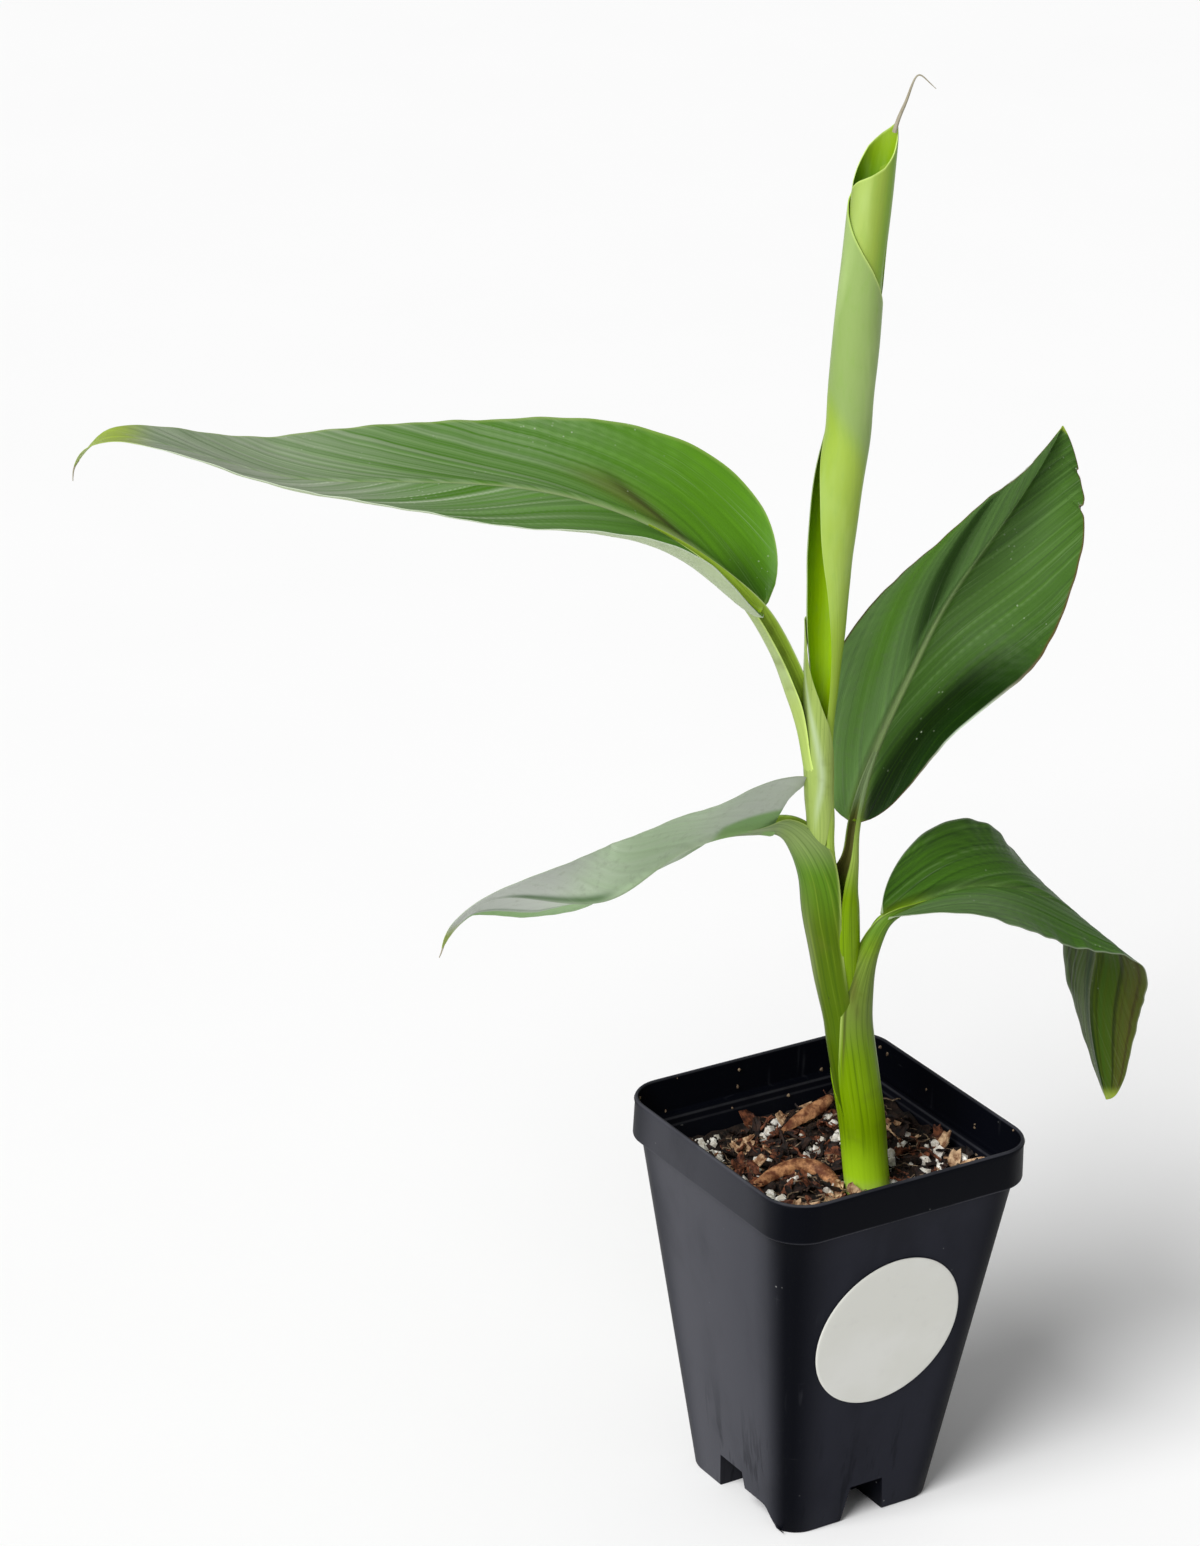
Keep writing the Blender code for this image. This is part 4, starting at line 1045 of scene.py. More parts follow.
ROLLED_LEAF = {
    "rolled_leaf_outer": Wrap(
        nodes=("rolled_leaf",),
        stations=(
            (-8.6, -10.4, 240.0, 3.1, 40, -75, 0.5), (-8.8, -10.4, 262.0, 3.45, 40, -72, 0.5),
            (-9.0, -10.4, 280.0, 3.6, 40, -69, 0.5), (-9.1, -10.4, 289.0, 4.3, 40, -66, 0.5),
            (-9.25, -10.2, 300.0, 5.1, 40, -67, 0.5), (-9.45, -10.0, 309.0, 5.95, 38, -74, 0.5),
            (-9.6, -9.8, 319.0, 6.45, 36, -85, 0.5), (-9.65, -9.6, 327.0, 6.85, 34, -95, 0.5),
            (-9.6, -9.5, 334.0, 7.1, 32, -106, 0.5), (-9.2, -9.4, 343.0, 7.45, 30, -119, 0.5),
            (-8.3, -9.3, 357.0, 7.65, 26, -137, 0.5), (-7.1, -9.3, 367.0, 7.45, 22, -161, 0.5),
            (-6.05, -9.3, 375.0, 7.15, 18, -184, 0.5), (-5.8, -9.2, 385.0, 7.1, 14, -218, 0.5),
            (-5.4, -9.0, 395.0, 7.2, 10, -255, 0.5), (-4.9, -8.7, 405.0, 7.2, 8, -300, 0.5),
            (-4.4, -8.3, 417.0, 7.0, 6, -345, 0.45), (-3.6, -7.6, 431.0, 6.8, 6, -372, 0.45),
            (-2.8, -7.0, 446.0, 6.7, 6, -372, 0.4), (-2.1, -6.6, 456.0, 6.4, 6, -372, 0.4),
            (-1.2, -6.4, 464.0, 5.7, 6, -372, 0.35),
        ),
        rim=(
            (0.0, 0.775), (0.04, 0.792), (0.10, 0.808), (0.20, 0.842), (0.30, 0.872), (0.40, 0.900),
            (0.50, 0.925), (0.62, 0.945), (0.75, 0.968), (0.88, 0.985), (1.0, 1.0),
        ),
        swell=0.5,
        rows=260,
        columns=96,
    ),
    "rolled_leaf_inner": Wrap(
        stations=(
            (-4.6, -8.6, 404.0, 6.1, 185, -185, 0.4), (-4.0, -8.1, 418.0, 6.0, 185, -185, 0.4),
            (-3.2, -7.5, 432.0, 6.1, 185, -185, 0.4), (-2.4, -7.0, 446.0, 6.3, 185, -185, 0.4),
            (-1.8, -6.7, 455.0, 6.2, 185, -185, 0.35), (-0.7, -6.6, 464.0, 5.5, 185, -185, 0.35),
            (0.3, -6.9, 470.0, 4.6, 185, -185, 0.3), (1.6, -7.6, 475.5, 2.7, 185, -185, 0.3),
        ),
        rim=(
            (0.0, 0.655), (0.08, 0.745), (0.16, 0.835), (0.26, 0.895), (0.36, 0.945), (0.46, 0.985),
            (0.50, 1.0), (0.54, 0.93), (0.60, 0.845), (0.68, 0.785), (0.78, 0.742), (0.88, 0.708),
            (1.0, 0.655),
        ),
        rows=130,
        columns=120,
    ),
    "rolled_leaf_flap": Wrap(
        stations=(
            (-8.6, -10.2, 242.0, 2.6, 196, 15, 0.5), (-8.8, -10.2, 264.0, 3.0, 196, 15, 0.5),
            (-9.0, -10.2, 280.0, 3.4, 196, 15, 0.5), (-9.2, -10.1, 289.0, 4.0, 196, 15, 0.5),
            (-9.4, -10.0, 300.0, 4.9, 196, 15, 0.5), (-9.7, -9.9, 309.0, 5.7, 195, 15, 0.5),
            (-9.8, -9.7, 319.0, 6.2, 194, 15, 0.5), (-9.8, -9.5, 327.0, 6.5, 193, 15, 0.5),
            (-9.8, -9.4, 334.0, 6.8, 192, 15, 0.5), (-9.4, -9.3, 343.0, 7.1, 190, 15, 0.45),
            (-8.6, -9.2, 357.0, 7.3, 188, 15, 0.45), (-7.4, -9.2, 367.0, 7.1, 186, 15, 0.4),
            (-6.2, -9.2, 376.0, 6.5, 182, 15, 0.35), (-5.8, -9.2, 384.0, 6.0, 180, 15, 0.3),
        ),
        columns=60,
    ),
}


def sheath_4_tints(c, along, across, angle, height, inside):
    smudge = bump(height, 190.0, 5.5) * bump(across, 0.11, 0.05)
    smudge = smudge + 0.6 * bump(height, 182, 3) * bump(across, 0.17, 0.03)
    return coats(
        c.stem,
        # Lighter towards the foot: partly the stem's own paler base, partly painted light against the pot's
        # shadow.
        (c.stem * 1.9 + c.bloom * 0.04, ease(height, 140, 118)),
        (c.sheath, 0.7 * ease(height, 121, 113)),
        (c.stem_dark, 0.35 * ease(height, 140, 175) * ease(height, 215, 190)),
        (OLIVE_STALK, 0.55 * ease(height, 162, 182) * ease(height, 206, 197)),
        (c.leaf * 0.9 + c.brown * 0.25, 0.85 * ease(height, 199.0, 209.0)),
        (c.brown * 0.7, 0.70 * smudge),
        (c.brown * 0.5, 0.8 * bump(across, 0.045, 0.012) * ease(height, 150, 172)),
        (c.sheath, 0.7 * ease(across, 0.03, 0.0) * ease(height, 150, 175)),
        (c.groove, 0.7 * inside),
    )


def sheath_3_tints(c, along, across, angle, height, inside):
    return coats(
        c.stem * 0.38,
        (c.stem_dark * 0.8, 0.50 * bump(across, 0.12, 0.10)),
        (c.sheath * 0.45, 0.60 * bump(across, 0.36, 0.07) * ease(height, 238, 200)),
        (c.leaf * 1.5, 0.45 * ease(height, 208, 232)),
        (DULL_STALK, 0.75 * ease(height, 228, 242)),
        (c.brown * 0.5, 0.55 * bump(across, 0.02, 0.02) * ease(height, 190, 168)),
        (c.sheath, 0.75 * ease(across, 0.035, 0.0) * ease(height, 185, 205)),
        (c.under, 0.4 * ease(along, 0.80, 0.9)),
        (c.groove, 0.7 * inside),
    )


def sheath_2_tints(c, along, across, angle, height, inside):
    return coats(
        c.stem * 1.05,
        (c.stem_dark, 0.15),
        (c.sheath * 0.8, 0.6 * ease(height, 220, 232) * ease(height, 246, 240)),
        (c.under, 0.5 * ease(height, 240, 248)),
        (c.brown, 0.95 * inside * ease(height, 218, 226) * ease(height, 248, 240)),
    )


def sheath_1_tints(c, along, across, angle, height, inside):
    return coats(
        c.sheath,
        (c.stem * 1.6, 0.45 * ease(height, 262, 240)),
        (c.under, 0.35 * ease(height, 282, 300)),
        (c.stem * 1.4, 0.35 * ease(height, 285, 270) * bump(across, 0.25, 0.12)),
        # Pale near margin: partly its own pale edge, partly a painted highlight along the ridge.
        (c.sheath * 1.5, 0.85 * ease(across, 0.05, 0.0) * ease(height, 252, 258)),
        (c.groove, 0.9 * inside),
    )


def wing_tints(c, along, across, angle, height, inside):
    return coats(
        c.sheath * 0.82,
        (c.furl, 0.3),
        (c.under * 1.4, 0.40 * bump(across, 0.36, 0.07) * ease(height, 240.0, 258.0)),
        (c.stem, 0.35 * inside),
    )


def outer_roll_tints(c, along, across, angle, height, inside):
    turned = 0.16 * (np.where(angle < -180.0, -180.0, angle) + 90.0)
    yellow_green = ease(height, 383.0 - turned, 369.0 - turned)
    end = along / np.maximum(along[-1:], 1e-6)
    return coats(
        c.furl,
        (c.under * 0.8, 0.14 * (1 - yellow_green)),
        (c.furl_pale * 1.05, yellow_green),
        (c.furl_bright * 0.85, 0.35 * ease(height, 345, 300)),
        (c.leaf_bright * 0.9, 0.30 * ease(angle, -40.0, 5.0)),
        (c.leaf_bright * 0.7, 0.45 * bump(across * 378 - 6.0, 366.0, 9.0) * ease(height, 405, 418)),
        (c.sheath * 1.2, 0.8 * ease(end, 0.994, 1.0)),
        (c.sheath * 1.2, 0.6 * ease(across, 0.985, 1.0)),
        (c.furl_bright * 0.8, 0.9 * inside),
    )


def flap_tints(c, along, across, angle, height, inside):
    # Inside: partly the young leaf's own bright colour, partly painted light through the thin leaf into the
    # shaded fold.
    yellow_green = coats(
        c.furl_bright,
        (c.leaf_bright, 0.4 * ease(across, 0.55, 0.20) * ease(height, 300, 345)),
        (c.sheath * 1.2, ease(across, 0.04, 0.0)),
    )
    return np.where(inside, yellow_green, coats(c.furl, (c.under, 0.3)))


def inner_roll_tints(c, along, across, angle, height, inside):
    front = coats(
        c.furl_pale * 0.82,
        # Painted highlight: a lighter band down the middle of the front.
        (c.leaf_bright, 0.45 * ease(np.cos(np.radians(angle + 15.0)), 0.62, 1.0)),
        (c.sheath * 1.1, 0.40 * bump(angle, -118.0, 30.0)),
    )
    # Inside: partly the young leaf's own bright colour, partly painted light through the thin leaf into the
    # shaded mouth.
    yellow_green = coats(
        c.furl_bright * 0.8,
        (c.leaf_bright * 0.8, 0.75 * ease(height, 466, 450)),
        (c.furl_pale, 0.40 * ease(height, 462, 474)),
    )
    # Pale mouth rim: partly its own pale margin, partly a painted highlight.
    mouth = ease(along / np.maximum(along[-1:], 1e-6), 0.985, 1.0)
    return coats(np.where(inside, yellow_green, front), (c.sheath * 1.3, 0.8 * mouth))


WRAP_TINTS = {
    "stem_sheath_4": sheath_4_tints,
    "stem_sheath_3": sheath_3_tints,
    "stem_sheath_2": sheath_2_tints,
    "stem_sheath_1": sheath_1_tints,
    "sheath_wing": wing_tints,
    "rolled_leaf_outer": outer_roll_tints,
    "rolled_leaf_inner": inner_roll_tints,
    "rolled_leaf_flap": flap_tints,
}


def wrap_mesh(name, wrap, colours):
    """The strip as a closed piece, thinning towards its margins."""
    steps = np.linspace(0.0, 1.0, CURVE_STEPS)
    table = even_curve(wrap.stations, steps)
    run = np.linspace(0.0, 1.0, wrap.rows)[:, None]
    across = np.linspace(0.0, 1.0, wrap.columns)[None, :]
    along = run * np.interp(across, *zip(*wrap.rim))
    across = across * np.ones_like(run)
    values = read_columns(along, steps, table)
    right, front = (
        read_columns(along, steps, part) for part in carried_frame(table[:, :3], (1.0, 0.0, 0.0))
    )
    middle, (radius, near, far, thick) = values[..., :3], np.moveaxis(values[..., 3:], -1, 0)
    angle = np.radians(near + (far - near) * across)
    radius = radius + wrap.swell * (0.5 - across) + 0.045 * waves(across, 6, 5, 0.02, 0.08)
    spoke = np.cos(angle)[..., None] * right + np.sin(angle)[..., None] * front * wrap.flat
    outer = middle + spoke * radius[..., None]
    edge = np.clip(np.minimum(across, 1 - across) * 7.0, 0.0, 1.0)
    wall = thick * (0.28 + 0.72 * edge**0.7)
    inner = middle + spoke * (radius - np.minimum(wall, 0.97 * radius))[..., None]
    uv = np.stack([angle * 7.0, along * run_length(table[:, :3])], axis=-1) * MM
    place = (palette(colours), along, across, np.degrees(angle), outer[..., 2])
    tint = np.stack([WRAP_TINTS[name](*place, side) for side in (False, True)])
    return grid_skin(name, outer, inner, uv, tint)


THREAD_SIDES = 8
THREAD_STEPS = 40
THREADS = {
    "rolled_leaf_thread": (
        (
            (3.4, -8.6, 470.5), (4.6, -8.2, 475.0), (6.6, -5.0, 479.1), (8.2, -5.0, 484.4),
            (10.0, -5.0, 487.3), (12.7, -5.0, 485.6), (15.4, -5.0, 483.2),
        ), 0.75, 0.10,
    ),
    "leaf_1_thread": (((-237.8, -49.8, 372.6), (-239.2, -49.0, 369.6), (-239.6, -48.8, 365.6)), 0.42, 0.12),
    "leaf_3_thread": (((-124.9, -62.3, 223.0), (-125.7, -61.9, 219.6), (-126.4, -61.6, 217.4)), 0.40, 0.14),
}


def thread_mesh(name, points, thick, thin):
    """A dry thread along points in millimetres, tapering to its end."""
    path = even_curve(points, np.linspace(0.0, 1.0, THREAD_STEPS))
    right, front = (part[:, None] for part in carried_frame(path, (1.0, 0.2, 0.1)))
    angle = np.linspace(0.0, 2 * math.pi, THREAD_SIDES, endpoint=False)[None, :, None]
    radius = np.linspace(thick, thin, THREAD_STEPS)[:, None, None]
    rings = path[:, None] + (right * np.cos(angle) + front * np.sin(angle)) * radius
    return finish_mesh(loft(name, to_pot(rings)))


# ---------------------------------------------------------------- pot and label

BODY_TOP_HALF = 0.0475
BASE_HALF = 0.0305
RIM_CORNER = 0.0140
BODY_TOP_CORNER = 0.0125
BASE_CORNER = 0.0100
WALL = 0.0014
FLOOR = 0.0020
FILLET = 0.0007
LIP = 0.0006
CORNER_STEPS = 14
WALL_SLOPE = (BODY_TOP_HALF - BASE_HALF) / STEP_HEIGHT
NOTCH_FOOT_HALF = 0.0087
NOTCH_TOP_HALF = 0.0064
NOTCH_HEIGHT = 0.0136
NOTCH_DEPTH = 0.0150
RECESS_START = 0.0060
RECESS_FLAT_END = 0.0180
RECESS_END = 0.0270
RECESS_HEIGHT = 0.0075
RECESS_DEPTH = 0.0190
LABEL_RADIUS = 0.0280
LABEL_CENTRE_X = -0.0020
LABEL_CENTRE_Z = 0.0765
LABEL_THICKNESS = 0.0005
LABEL_SIDES = 128
LABEL_RINGS = ((0.45, 1.0), (0.8, 1.0), (0.965, 1.0), (0.99, 0.9), (1.0, 0.55), (1.0, 0.0))
GAP = 0.0003


def rounded_square(half, corner, z, corner_steps=CORNER_STEPS, side_steps=1):
    """A square loop with rounded corners and evenly parted sides."""
    points = []
    reach = half - corner
    for sx, sy, start in ((1, 1, 0), (-1, 1, 1), (-1, -1, 2), (1, -1, 3)):
        for step in range(corner_steps + 1):
            angle = (start + step / corner_steps) * math.pi / 2
            points.append((sx * reach + corner * math.cos(angle), sy * reach + corner * math.sin(angle), z))
        end, turn = points[-1], (start + 1) * math.pi / 2
        for step in range(1, side_steps):
            run = 2 * reach * step / side_steps
            points.append((end[0] - run * math.sin(turn), end[1] + run * math.cos(turn), z))
    return points


def body_half(z):
    return BASE_HALF + WALL_SLOPE * z


def body_corner(z):
    return BASE_CORNER + (BODY_TOP_CORNER - BASE_CORNER) * z / STEP_HEIGHT


def pot_profile():
    """Half width, corner radius and height round the wall's section, from its foot over the rim."""
    top, ledge = body_half(STEP_HEIGHT), STEP_HEIGHT + WALL
    outer = [(body_half(z), body_corner(z), z) for z in np.linspace(0.012, STEP_HEIGHT - 0.0012, 8)]
    inner = np.linspace(STEP_HEIGHT - 0.004, FLOOR + 0.001, 7)
    return [
        (BASE_HALF - FILLET, BASE_CORNER - FILLET, 0.0),
        (BASE_HALF - 0.3 * FILLET, BASE_CORNER - 0.3 * FILLET, 0.2 * FILLET),
        (body_half(FILLET), body_corner(FILLET), FILLET),
        *outer,
        (top + 0.0002, BODY_TOP_CORNER, STEP_HEIGHT - 0.0002),
        (top + 0.0006, BODY_TOP_CORNER + 0.0004, STEP_HEIGHT),
        (RIM_HALF - 0.0005, RIM_CORNER - 0.0005, STEP_HEIGHT + 0.0001),
        (RIM_HALF - 0.00012, RIM_CORNER - 0.0001, STEP_HEIGHT + 0.0004),
        (RIM_HALF, RIM_CORNER, STEP_HEIGHT + 0.0009),
        (RIM_HALF - 0.0002, RIM_CORNER, POT_HEIGHT - 0.0025),
        (RIM_HALF, RIM_CORNER, POT_HEIGHT - 0.0011),
        (RIM_HALF - 0.0002, RIM_CORNER, POT_HEIGHT - 0.0004),
        (RIM_HALF - LIP, RIM_CORNER - LIP, POT_HEIGHT),
        (RIM_HALF - 2 * LIP, RIM_CORNER - 2 * LIP, POT_HEIGHT - 0.0001),
        (RIM_HALF - WALL, RIM_CORNER - WALL, POT_HEIGHT - 0.0006),
        (RIM_HALF - WALL, RIM_CORNER - WALL, ledge + 0.0008),
        (RIM_HALF - WALL - 0.0003, RIM_CORNER - WALL - 0.0003, ledge + 0.0002),
        (RIM_HALF - WALL - 0.0008, RIM_CORNER - WALL - 0.0008, ledge),
        (top - WALL + 0.0002, BODY_TOP_CORNER - WALL, ledge),
        (top - WALL - 0.0002, BODY_TOP_CORNER - WALL, ledge - 0.0005),
        *((body_half(z) - WALL, body_corner(z) - WALL, z) for z in inner),
        (body_half(FLOOR) - WALL - 0.001, body_corner(FLOOR) - WALL - 0.001, FLOOR),
    ]


def tunnel(grown, offset, low):
    """The space of the drain notch in the -Y side, grown, starting offset inside the wall's face."""
    foot, top = NOTCH_FOOT_HALF + grown, NOTCH_TOP_HALF + grown
    height = NOTCH_HEIGHT + grown
    corners = ((-foot, low), (foot, low), (top, height), (-top, height))
    outer = [(x, offset - body_half(z), z) for x, z in corners]
    inner = [(x, NOTCH_DEPTH + grown - BASE_HALF, z) for x, z in corners]
    return outer, inner


def slope(grown, offset, low):
    """The sloping space under the -Y side, beside its notch, made the same way."""
    pitch = RECESS_HEIGHT / RECESS_DEPTH
    sections = []
    for x in np.linspace(RECESS_START - grown, RECESS_END + grown, 17):
        fade = np.clip((x - RECESS_FLAT_END) / (RECESS_END - RECESS_FLAT_END), 0, 1)
        height = RECESS_HEIGHT * (0.5 + 0.5 * math.cos(math.pi * fade)) + grown
        wall = -body_half(height)
        outer = offset + wall
        peak = height + pitch * (wall - outer)
        sections.append([(x, outer, low), (x, outer, peak), (x, wall + (height - low) / pitch, low)])
    return sections


def pot_spaces(*measures):
    """Every notch and recess of the pot, turned to its side."""
    found = []
    for quarter, shape in [(side, tunnel) for side in range(4)] + [(side, slope) for side in (-1, 1)]:
        found.append(link("pot_space", loft("pot_space", shape(*measures))))
        found[-1].rotation_euler.z = quarter * math.pi / 2
    return found


def cut_or_join(obj, others, operation):
    for other in others:
        modifier = obj.modifiers.new(other.name, "BOOLEAN")
        modifier.operation = operation
        modifier.object = other


class PLANT_OT_pot(bpy.types.Operator):
    """Pot with its band, lip, inner ledge, drain notches and recesses"""

    bl_idname = "plant.pot"
    bl_label = "Pot"

    def execute(self, context):
        rings = [rounded_square(*row) for row in pot_profile()]
        pot = link("pot_shell", loft("pot_shell", rings))
        hoods = pot_spaces(WALL, WALL / 2, FLOOR / 2)
        spaces = pot_spaces(0.0, -0.010, -0.001)
        cut_or_join(pot, hoods, "UNION")
        cut_or_join(pot, spaces, "DIFFERENCE")
        made_plain(pot)
        for helper in hoods + spaces:
            bpy.data.objects.remove(helper, do_unlink=True)
        finish_mesh(pot.data, 32.0)
        pot.data.materials.clear()
        pot.data.materials.append(pot_plastic(context.scene.plant_pot))
        own(pot, "pot_plastic", "pot")
        return {"FINISHED"}


class PLANT_OT_label(bpy.types.Operator):
    """Blank round paper label on the front of the pot"""

    bl_idname = "plant.label"
    bl_label = "Label"

    def execute(self, context):
        turned = Matrix.Rotation(math.pi / 2 + math.atan(WALL_SLOPE), 4, "X")
        foot = Matrix.Translation((LABEL_CENTRE_X, -body_half(LABEL_CENTRE_Z), LABEL_CENTRE_Z))
        lift = Matrix.Translation(turned.col[2].to_3d() * GAP)
        angles = np.linspace(0, 2 * math.pi, LABEL_SIDES, endpoint=False)
        points = []
        for share, height in LABEL_RINGS:
            reach, z = LABEL_RADIUS * share, LABEL_THICKNESS * height
            points += [(reach * math.cos(a), reach * math.sin(a), z) for a in angles]
        at = np.arange(len(points)).reshape(-1, LABEL_SIDES)
        after = np.roll(at, -1, axis=1)
        crown = np.stack([np.full_like(at[0], len(points)), at[0], after[0]], axis=-1)
        bands = np.stack([at[:-1], at[1:], after[1:], after[:-1]], axis=-1).reshape(-1, 4)
        faces = [*crown.tolist(), *bands.tolist(), at[-1, ::-1].tolist()]
        mesh = closed_mesh("pot_label", [*points, (0.0, 0.0, LABEL_THICKNESS)], faces)
        mesh.transform(foot @ lift @ turned)
        label = link("pot_label", finish_mesh(mesh), label_paper(context.scene.plant_pot))
        own(label, "label_paper", "label")
        return {"FINISHED"}


# ---------------------------------------------------------------- potting mix

SOIL_RINGS = 62
SOIL_FOOT = 0.0205
SOIL_LOOP = (7, 22)  # steps round a corner and along a side
STEM_FOOT = Vector(to_pot(np.array([13.6, -7.0, 113.5])))
STEM_CLEARANCE = 0.0088
LEAST_UPWARD = 0.2  # of a face's normal, for pieces to lie on it
BARKS = {
    "bark_red": ((0.030, 0.008, 0.004), (0.230, 0.075, 0.032), 0.75, 5),
    "bark_tan": ((0.180, 0.080, 0.035), (0.680, 0.470, 0.280), 0.40, 6),
    "bark_dark": ((0.003, 0.002, 0.002), (0.035, 0.015, 0.009), 1.5, 7),
}
SCRAPS = {
    "dry_leaf_large": (
        (
            (-25.5, -14.5, 114.6), (-19.0, -7.5, 116.8), (-12.5, -2.8, 118.4), (-4.5, -1.0, 118.6),
            (1.4, -6.6, 117.0), (4.6, -14.0, 115.0),
        ), (0.0, -0.60, 0.80), 3.4, 1.2,
    ),
    "dry_leaf_small": (
        ((-14.0, 27.0, 115.2), (-7.5, 33.0, 118.0), (-1.0, 38.0, 120.4), (3.0, 43.0, 121.4)),
        (0.2, -0.5, 0.85), 2.6, 0.9,
    ),
}
SCRAP_THICKNESS = 0.35
WALL_SPECKS = 32


def soil_height(x, y, relief):
    """Height of the mix: uneven, heaped towards the +X side and a little towards the -X side."""
    bumps = waves(x + 0.6 * y, 5, 1, 0.006, 0.040) + waves(y - 0.5 * x, 5, 2, 0.006, 0.040)
    bumps = bumps + 0.7 * waves(x * 0.8 - y, 4, 3, 0.004, 0.016)
    heap = 0.0052 * ease(x, 0.012, 0.044) + 0.0016 * ease(-x, 0.02, 0.044)
    return SOIL_TOP + relief * bumps + heap


def soil_mesh(settings):
    rings = []
    half = body_half(SOIL_TOP) - WALL - GAP
    corner = body_corner(SOIL_TOP) - WALL - GAP
    for share in np.linspace(0.02, 1.0, SOIL_RINGS):
        ring = np.array(rounded_square(half * share, corner * share, 0.0, *SOIL_LOOP))
        ring[:, 2] = soil_height(ring[:, 0], ring[:, 1], settings.relief)
        rings.append(ring)
    inset = WALL + GAP
    for z in np.linspace(SOIL_TOP - 0.004, SOIL_FOOT, 6):
        rings.append(np.array(rounded_square(body_half(z) - inset, body_corner(z) - inset, z, *SOIL_LOOP)))
    return finish_mesh(loft("soil_bed", rings))


def lump(name, size, seed, rough):
    """An uneven pebble: a sphere of few faces, pulled about."""
    draw = np.random.default_rng(seed)
    model = bmesh.new()
    bmesh.ops.create_icosphere(model, subdivisions=1, radius=1.0)
    for vertex in model.verts:
        pull = 1.0 + rough * (draw.random() - 0.5) * 2
        vertex.co = Vector([vertex.co[i] * size[i] * pull for i in range(3)])
    mesh = bpy.data.meshes.new(name)
    model.to_mesh(mesh)
    model.free()
    return mesh


def twig(name, reach, radius, seed):
    """A bent fibre with five sides."""
    draw = np.random.default_rng(seed)
    steps, sides = 8, 5
    run = np.linspace(-0.5, 0.5, steps)
    bend = draw.normal(0, 0.18, 2)
    wave = draw.normal(0, 0.05, (steps, 2))
    turn = 2 * math.pi * np.arange(sides) / sides
    thick = (radius * (1.0 - 0.6 * np.abs(run)))[:, None]
    y = bend[0] * (run**2 - 0.1) + wave[:, 0]
    z = np.abs(bend[1]) * (0.2 - run**2) + wave[:, 1] * 0.5
    x, y, z = (part[:, None] * reach for part in (run, y, z))
    rings = [x + 0 * turn, y + thick * np.cos(turn), z + thick * np.sin(turn)]
    return loft(name, np.stack(rings, axis=-1))


def chip(name, seed):
    """A flat, split piece of bark, curved along its length."""
    draw = np.random.default_rng(seed)
    rows, columns = 7, 4
    x = np.linspace(-0.5, 0.5, rows)[:, None]
    y = np.linspace(-0.5, 0.5, columns)[None, :]
    width = (0.55 + 0.45 * np.cos(x * math.pi)) * (0.8 + 0.4 * draw.random((rows, 1)))
    reach, breadth, thick = 0.0058, 0.0022, 0.00035
    under = np.stack([
        (x + 0.06 * draw.normal(size=(rows, columns))) * reach,
        y * width * breadth + 0.0002 * draw.normal(size=(rows, columns)),
        (0.30 * (x**2) + 0.5 * y**2 * width) * breadth * 1.2 + 0.00012 * draw.normal(size=(rows, columns)),
    ], axis=-1).reshape(-1, 3)
    both = np.concatenate([under + [0.0, 0.0, thick], under])
    return closed_mesh(name, both.tolist(), sheet_faces(rows, columns).tolist())


def scatter_tree():
    """Node tree that strews the shapes of a collection over a surface."""
    amounts = dict.fromkeys(("Density", "Smallest", "Largest", "Tilt", "Sink"), "Float")
    tree = Growth("Strewn Pieces", Shapes="Collection", **amounts, Seed="Int")
    given = tree.given
    spread = {"Mesh": given["Geometry"], "Density": given["Density"], "Seed": given["Seed"]}
    spread = tree.add("GeometryNodeDistributePointsOnFaces", spread).outputs["Points"]
    shapes = {"Collection": given["Shapes"], "Separate Children": True, "Reset Children": True}
    shapes = tree.add("GeometryNodeCollectionInfo", shapes).outputs[0]
    turn = {
        "X": tree.times(tree.chance(-1.0, 1.0, 43), given["Tilt"]),
        "Y": tree.times(tree.chance(-1.0, 1.0, 59), given["Tilt"]),
        "Z": tree.chance(-math.pi, math.pi, 31),
    }
    placed = tree.add("GeometryNodeInstanceOnPoints", {
        "Points": spread,
        "Instance": shapes,
        "Pick Instance": True,
        "Rotation": tree.add("ShaderNodeCombineXYZ", turn).outputs[0],
        "Scale": tree.chance(given["Smallest"], given["Largest"], 17),
    })
    sunk = tree.add("GeometryNodeTranslateInstances", {
        "Instances": placed.outputs[0],
        "Translation": tree.add("ShaderNodeCombineXYZ", {"Z": given["Sink"]}).outputs[0],
        "Local Space": False,
    })
    return tree.done(sunk.outputs[0])


def strew(tree, name, host, shapes, amount, skin, seed, sizes, tilt, sink=0.0):
    """Strews shapes over a surface as one joined piece, and clears the helpers away."""
    holder = bpy.data.collections.new(name + "_shapes")
    bpy.context.scene.collection.children.link(holder)
    for i, mesh in enumerate(shapes):
        holder.objects.link(bpy.data.objects.new(f"{name}_shape_{i}", mesh))
    obj = link(name, host.copy())
    area = sum(face.area for face in host.polygons)
    grow(
        obj, tree, Shapes=holder, Density=amount / area, Smallest=sizes[0], Largest=sizes[1],
        Tilt=tilt, Sink=sink, Seed=seed, Skin=skin,
    )
    for helper in list(holder.objects):
        bpy.data.objects.remove(helper, do_unlink=True)
    bpy.data.collections.remove(holder)
    if len(obj.data.polygons) == 0:
        raise RuntimeError(f"{name} came out empty")
    own(obj, "potting_mix")


